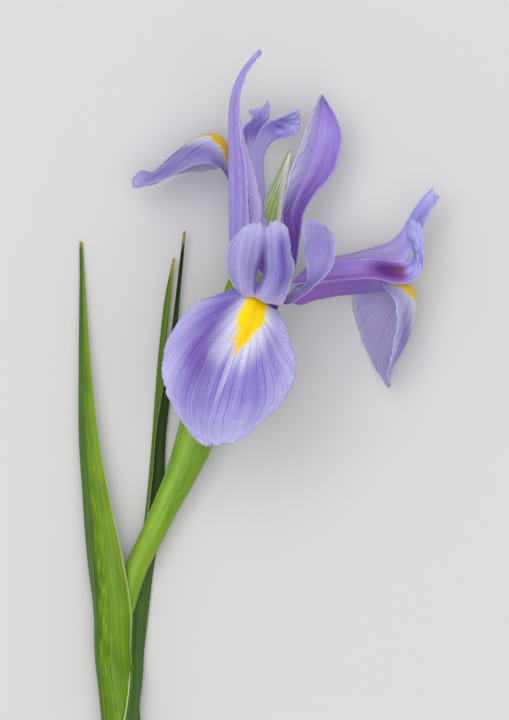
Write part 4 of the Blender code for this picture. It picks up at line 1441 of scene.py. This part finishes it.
ARM_FRONT = [
    ((2.2, 4.9, 6.2), (2.7, 4.7, 6.2), (3.3, 4.4, 6.2), (3.9, 4, 6), (4.4, 3.6, 5.8)),
    ((-2.8, 3.8, 13.4), (-1.2, 2.9, 14.6), (0.6, 2, 14.8), (2, 0.8, 14.6), (3, -0.4,
     13.8)),
    ((-6.4, 5, 27.4), (-4.2, 4.4, 28.6), (-1.7, 3.2, 29), (0.4, 1.4, 28.8), (2.1, -0.6,
     28)),
    ((-9.6, 4.6, 36.8), (-7.2, 4.2, 39), (-4.2, 3.2, 40.2), (-1.2, 1.2, 40), (1.8, -1.4,
     38.6)),
    ((-10.2, 1.3, 42.4), (-8, 0, 44.4), (-5.7, 0.2, 44.6), (-2, -1.6, 45), (3, -2,
     42.8)),
    ((-14, 7.5, 44.6), (-9.2, 7, 49), (-4.75, 7, 44.8), (-3.3, 6.2, 45.2), (1.4, 6,
     49.6), (6.1, 8, 45)),
    ((-13.9, 14.5, 46.6), (-8.6, 14.5, 50), (-2.75, 14.2, 46.6), (-2.7, 13.4, 47), (1.2,
     15, 50.4), (4.9, 16, 47)),
    ((-9.4, 19.9, 47.4), (-6, 22.8, 48.4), (-3, 22, 48), (-2.4, 21.2, 48), (0.6, 23.3,
     49), (4.2, 20.8, 47.6)),
]
LEAF_LEFT = [
    ((-48.5, -175, -11.4), 24.2, 330, -30),
    ((-48.5, -150, -11.4), 24.2, 330, -30),
    ((-49.4, -127, -11.4), 23, 270, -33),
    ((-51.2, -108, -11.2), 19.8, 203, -35),
    ((-51.1, -94, -10.4), 18, 150, -35),
    ((-52, -80, -10.4), 14.5, 110, -30),
    ((-54, -60, -12.4), 9.6, 80, -25),
    ((-56.1, -40, -14.5), 6.6, 70, -22),
    ((-57, -20, -16.6), 4, 60, -20),
    ((-57.6, 0, -18.8), 1.9, 50, -15),
    ((-58.1, 17.3, -21.2), 0.5, 40, -10),
]
LEAF_LONG = [
    ((-41.5, -183, -12.2), 29.3, 300, 60),
    ((-41.5, -158, -12.2), 26.4, 270, 60),
    ((-41.4, -142, -12.6), 17, 174, 64),
    ((-41.3, -127, -13.3), 10.2, 102, 68),
    ((-40.4, -116, -14.6), 8.4, 84, 62),
    ((-40.4, -105, -17.4), 6.4, 60, 48),
    ((-39, -85, -19.6), 5.4, 40, 15),
    ((-36.4, -70, -20.1), 4.6, 30, 10),
    ((-34.8, -55, -20.5), 3.7, 30, 5),
    ((-33.8, -40, -20.3), 3.1, 30, 0),
    ((-31.1, -20, -19.8), 2.1, 40, 0),
    ((-28.9, 0, -19), 1.15, 40, 0),
    ((-27.6, 12, -18.2), 0.85, 40, 0),
    ((-26.7, 20.3, -17.6), 0.4, 40, 0),
]
LEAF_SHORT = [
    ((-39.7, -190, -13.2), 36.1, 300, 75),
    ((-39.7, -170, -13.2), 31.9, 265, 75),
    ((-39.4, -152, -15), 22.2, 180, 90),
    ((-40.4, -138, -18.6), 11, 90, 130),
    ((-42.2, -125, -20.6), 5.6, 60, 155),
    ((-41.2, -105, -21.4), 4.2, 25, 178),
    ((-39.2, -85, -21.5), 4.2, 20, 180),
    ((-36.8, -65, -21.55), 3.8, 20, 180),
    ((-35.3, -45, -21.5), 3, 20, 180),
    ((-34.4, -30, -21.3), 2.6, 20, 180),
    ((-33.3, -15, -20.7), 2.3, 30, 180),
    ((-31.7, 0, -19.7), 1.9, 30, 180),
    ((-29.8, 12.2, -18.7), 0.4, 30, 180),
]
SPATHE_OUTER = [
    ((-44.9, -95, -12.7), 12.8, 300, 0),
    ((-41.4, -82, -11.8), 16.2, 300, 0),
    ((-37.1, -72.8, -10.95), 17, 290, 0),
    ((-32.5, -63, -10.05), 18.3, 280, 0),
    ((-27.4, -52.4, -8.85), 21, 265, 0),
    ((-23.4, -42.3, -7.65), 23.2, 240, 0),
    ((-20.5, -32, -6.6), 16, 150, -6),
    ((-19.8, -22, -6.2), 12, 130, -30),
    ((-20.6, -13, -6.6), 5, 80, -50),
    ((-21.6, -7, -7), 0.6, 40, -60),
]
SPATHE_INNER = [
    ((-38.9, -77, -17.1), 13, 300, 180),
    ((-37.1, -72.8, -16.8), 13, 300, 180),
    ((-32.5, -63, -16.6), 14.2, 290, 180),
    ((-27.4, -52.4, -17), 17.2, 275, 180),
    ((-23.4, -42.3, -17.7), 18.6, 240, 180),
    ((-18.5, -28, -18.2), 16.2, 178, 180),
    ((-13, -13, -18.6), 16, 140, 180),
    ((-8, 2.5, -18.3), 15, 110, 180),
    ((-3.6, 16.5, -17.8), 11.4, 90, 180),
    ((0.3, 29, -17), 5.8, 70, 180),
    ((2.9, 37, -16.2), 3.2, 60, 180),
    ((5.2, 44.7, -15), 0.5, 40, 180),
]
STEM_LINE = [(-46.4, -215, -17.6), (-46.4, -196, -16), (-46.4, -175, -15.05),
             (-46.4, -150, -15.05), (-46.8, -127, -15.1), (-46.8, -108, -15.2),
             (-44.9, -94, -15.1), (-41.6, -82, -14.9), (-37.1, -72.8, -14.3),
             (-32.5, -63, -13.8), (-27.4, -52.4, -13.4)]
STEM_RADII = [3.5, 3.5, 3.5, 3.4, 3.2, 2.9, 2.4, 1.9, 1.7, 1.7, 1.6]
STAMENS = [
    (Side.RIGHT, [(4.6, 2.9, 1), (12, 4.4, -0.6), (20, 6, -1.7)],
     [(20.6, 6.1, -1.8), (26, 6.9, -2.6), (31, 7.4, -3.4)]),
    (Side.LEFT, [(0.9, 3.9, 1), (-2.6, 13.5, -1.2), (-5.4, 22.4, -3.8)],
     [(-5.7, 23.2, -4), (-7.2, 28.6, -4.7), (-8.4, 34, -5)]),
    (Side.FRONT, [(1, 1.3, 3.8), (-1.2, -0.3, 13), (-2.4, 0.1, 22)],
     [(-2.5, 0.2, 22.8), (-3.2, 0.5, 28), (-3.9, 0.9, 33)]),
]


# ---------------------------------------------------------------- table, light and camera

@dataclass
class Studio:
    """A pale table under broad soft lamps, with the camera straight above."""

    table_size: float = 6.0
    camera_height: float = 2.4
    view_height: float = 0.2162
    middle: tuple[float, float] = (-5.55, -18.6)

    def table(self) -> None:
        """The tabletop at z = 0."""
        shape = bmesh.new()
        bmesh.ops.create_grid(shape, x_segments=8, y_segments=8, size=self.table_size / 2)
        model("tabletop", shape, TableFinish().build(), soft=False)

    def lamp(self, name: str, spot: tuple[float, float, float], size: float, power: float,
             colour: Colour = (1.0, 1.0, 1.0)) -> None:
        """One square soft lamp that faces the flower."""
        data = bpy.data.lights.new(name, "AREA")
        data.size, data.energy, data.color = size, power, colour
        item = link(bpy.data.objects.new(name, data))
        item.location = spot
        item.rotation_mode = "QUATERNION"
        item.rotation_quaternion = (HEART - Vector(spot)).to_track_quat("-Z", "Y")

    def lights(self) -> None:
        """Even daylight all round, a main lamp up and to the left, and a weak one opposite."""
        world = bpy.data.worlds.new("studio")
        world.use_nodes = True
        back = world.node_tree.nodes["Background"]
        back.inputs["Color"].default_value = (1.0, 1.0, 1.0, 1.0)
        back.inputs["Strength"].default_value = 0.52
        bpy.context.scene.world = world
        self.lamp("main_lamp", (-0.34, 0.32, 1.9), 1.3, 18.5)
        self.lamp("fill_lamp", (0.3, -0.3, 1.9), 1.2, 8.0)

    def camera(self) -> None:
        """Long lens looking straight down, the flower's end of the stem at the top."""
        data = bpy.data.cameras.new("camera")
        data.sensor_width = 36.0
        data.lens = 36.0 * self.camera_height / self.view_height
        data.clip_end = 50.0
        item = link(bpy.data.objects.new("camera", data))
        item.location = HEART + Vector((*self.middle, 0.0)) * MM + Vector(
            (0.0, 0.0, self.camera_height))
        bpy.context.scene.camera = item

    def build(self) -> None:
        """Sets the table, the lights and the camera."""
        bpy.context.scene.view_settings.view_transform = "Standard"
        self.table()
        self.lights()
        self.camera()


def build_finishes() -> dict[str, Material]:
    """Makes the plant's materials, by name."""
    petal = dict(through=0.12, sheen=0.05, specular=0.2)
    leaf = dict(waviness=0.01, mottle=0.2, roughness=0.5, specular=0.25)
    rind = dict(waviness=0.01, roughness=0.42, specular=0.35)
    kinds = [
        TissueFinish("fall_face", srgb(116, 90, 194), count=32.0, vein_share=0.75, streak=0.12,
                     waviness=0.06, mottle=0.12, roughness=0.62, bump=0.22, **petal),
        TissueFinish("fall_back", srgb(120, 100, 180), painted="under", count=24.0,
                     vein_share=0.45, waviness=0.06, streak=0.1, mottle=0.14, roughness=0.64,
                     through=0.12, sheen=0.12, bump=0.15),
        TissueFinish("standard_skin", srgb(116, 82, 186), count=30.0, vein_share=0.7,
                     streak=0.2, mottle=0.16, roughness=0.58, bump=0.2, seed=3.0, **petal),
        TissueFinish("crest_skin", srgb(116, 96, 192), count=26.0, vein_share=0.6,
                     streak=0.12, mottle=0.12, roughness=0.6, bump=0.22, seed=5.0, **petal),
        TissueFinish("leaf_bright", srgb(96, 130, 30), count=16.0, vein_share=0.55,
                     streak=0.25, bump=0.3, seed=7.0, **leaf),
        TissueFinish("leaf_dark", srgb(70, 98, 50), count=10.0, vein_share=0.6, streak=0.35,
                     bump=0.35, seed=8.0, **leaf),
        TissueFinish("spathe_skin", srgb(130, 166, 60), count=24.0, vein_share=0.4,
                     streak=0.2, mottle=0.2, bump=0.25, seed=9.0, **rind),
        TissueFinish("stalk_skin", srgb(96, 134, 44), count=20.0, vein_share=0.25,
                     streak=0.16, mottle=0.14, bump=0.3, seed=10.0, **rind),
        TissueFinish("pollen_dust", srgb(190, 170, 120), count=6.0, vein_share=0.3,
                     streak=0.1, mottle=0.4, roughness=0.9, specular=0.1, bump=0.6, seed=11.0)]
    veins, tissue = vein_group(), tissue_group()
    return {kind.name: kind.build(veins, tissue) for kind in kinds}


def build_falls(face: Material, back: Material) -> None:
    """The three falls; in each the first colour is the upper side's."""
    for fall in (
            Fall("fall_front", FALL_FRONT, signal=(0.6, 0.17, 0.64, 0.75), haft_end=0.38,
                 valley=(0.25, 0.9), shade=0.18, ruffles=0.7, seed=1.0, flip=True,
                 halo_width=0.19, pale_edge=0.7),
            Fall("fall_right", FALL_RIGHT, signal=(0.5, 0.27, 0.61, 0.72), haft_end=0.386,
                 valley=(0.84, 0.0), ruffles=0.45, seed=2.0, halo_width=0.18, warmth=-0.3,
                 pale_edge=0.9),
            Fall("fall_left", FALL_LEFT, signal=(0.51, 0.22, 0.6, 0.68), haft_end=0.36,
                 valley=(0.95, 0.4), shade=0.5, ruffles=0.45, seed=3.0, flip=True,
                 halo_width=0.16, warmth=0.6, pale_edge=0.4)):
        fall.build(face, back)


def build_standards(finish: Material) -> None:
    """The three standards."""
    for standard in (
            # The left standard's light and glow paint its far flank pale: painted light.
            Standard("standard_left", STANDARD_LEFT, srgb(178, 162, 234), srgb(172, 138, 230),
                     light=(0.1, 0.0, 1.0), glow=srgb(228, 214, 255), crease_shade=(0.77, 0.06, 0.9),
                     reach=0.4, seed=4.0),
            Standard("standard_back", STANDARD_BACK, srgb(170, 146, 226), srgb(114, 70, 164),
                     light=(1.0, 0.15, 0.0), glow=srgb(222, 218, 240),
                     crease_shade=(0.66, 0.1, 0.35), reach=0.85, seed=5.0, glow_from=0.36),
            Standard("standard_front", STANDARD_FRONT, srgb(180, 168, 226),
                     srgb(214, 190, 236), light=(0.3, 0.0, 0.3), seed=6.0)):
        standard.build(finish)


def build_arms(finish: Material) -> None:
    """The three style arms."""
    for arm in (
            StyleArm("style_arm_front", ARM_FRONT, 4, strap=Hue.VIOLET,
                     crest=srgb(176, 170, 222), blush=0.5, ragged=0.04, seed=7.0,
                     lobe_shade=(0.2, 1.0), crease_shade=0.9),
            StyleArm("style_arm_right", ARM_RIGHT, 5, strap=srgb(172, 142, 226),
                     crest=srgb(172, 172, 240), spot=(0.72, 0.46, 0.24, 0.13, 0.95),
                     ragged=0.035, seed=8.0, ruffles=0.6, backlit_wing=0.5, lobe_shade=(0.35, 0.1),
                     crinkle=(0.15, 0.7)),
            StyleArm("style_arm_left", ARM_LEFT, 5, strap=srgb(200, 186, 242),
                     crest=srgb(166, 160, 232), ragged=0.035, seed=9.0, ruffles=0.7,
                     lobe_shade=(0.7, 0.5), crinkle=(0.4, 0.3), band=0.85)):
        arm.build(finish)


def build_green(finishes: dict[str, Material]) -> None:
    """The leaves and the two spathe valves."""
    valve = dict(slot="spathe_green", rows=120, columns=56, wall=0.45)
    for blade, finish in (
            (Blade("leaf_left", LEAF_LEFT, Skin.BRIGHT, "stem_green", rows=280, columns=64,
                   keel=0.35, seed=1.0), "leaf_bright"),
            (Blade("leaf_long", LEAF_LONG, Skin.DARK, "leaf_green", seed=2.0), "leaf_dark"),
            (Blade("leaf_short", LEAF_SHORT, Skin.DARK, "leaf_green", lift=0.85, seed=3.0),
             "leaf_dark"),
            (Blade("spathe_outer", SPATHE_OUTER, Skin.SPATHE, seed=4.0, **valve),
             "spathe_skin"),
            (Blade("spathe_inner", SPATHE_INNER, Skin.SPATHE_TIP, seed=5.0, **valve),
             "spathe_skin")):
        blade.build(finishes[finish])


def main() -> None:
    """Builds every piece in order."""
    logging.basicConfig(level=logging.INFO, format="%(name)s: %(message)s")
    finishes = build_finishes()
    Studio().build()
    build_falls(finishes["fall_face"], finishes["fall_back"])
    build_standards(finishes["standard_skin"])
    build_arms(finishes["crest_skin"])
    grains = pollen_tree(finishes["pollen_dust"])
    for side, thread, anther in STAMENS:
        Stamen(side, thread, anther).build(finishes["crest_skin"], finishes["pollen_dust"], grains)
    Heart().build(finishes["stalk_skin"], finishes["standard_skin"], finishes["crest_skin"])
    Stem(STEM_LINE, STEM_RADII).build(finishes["stalk_skin"])
    build_green(finishes)


if __name__ == "__main__":
    main()
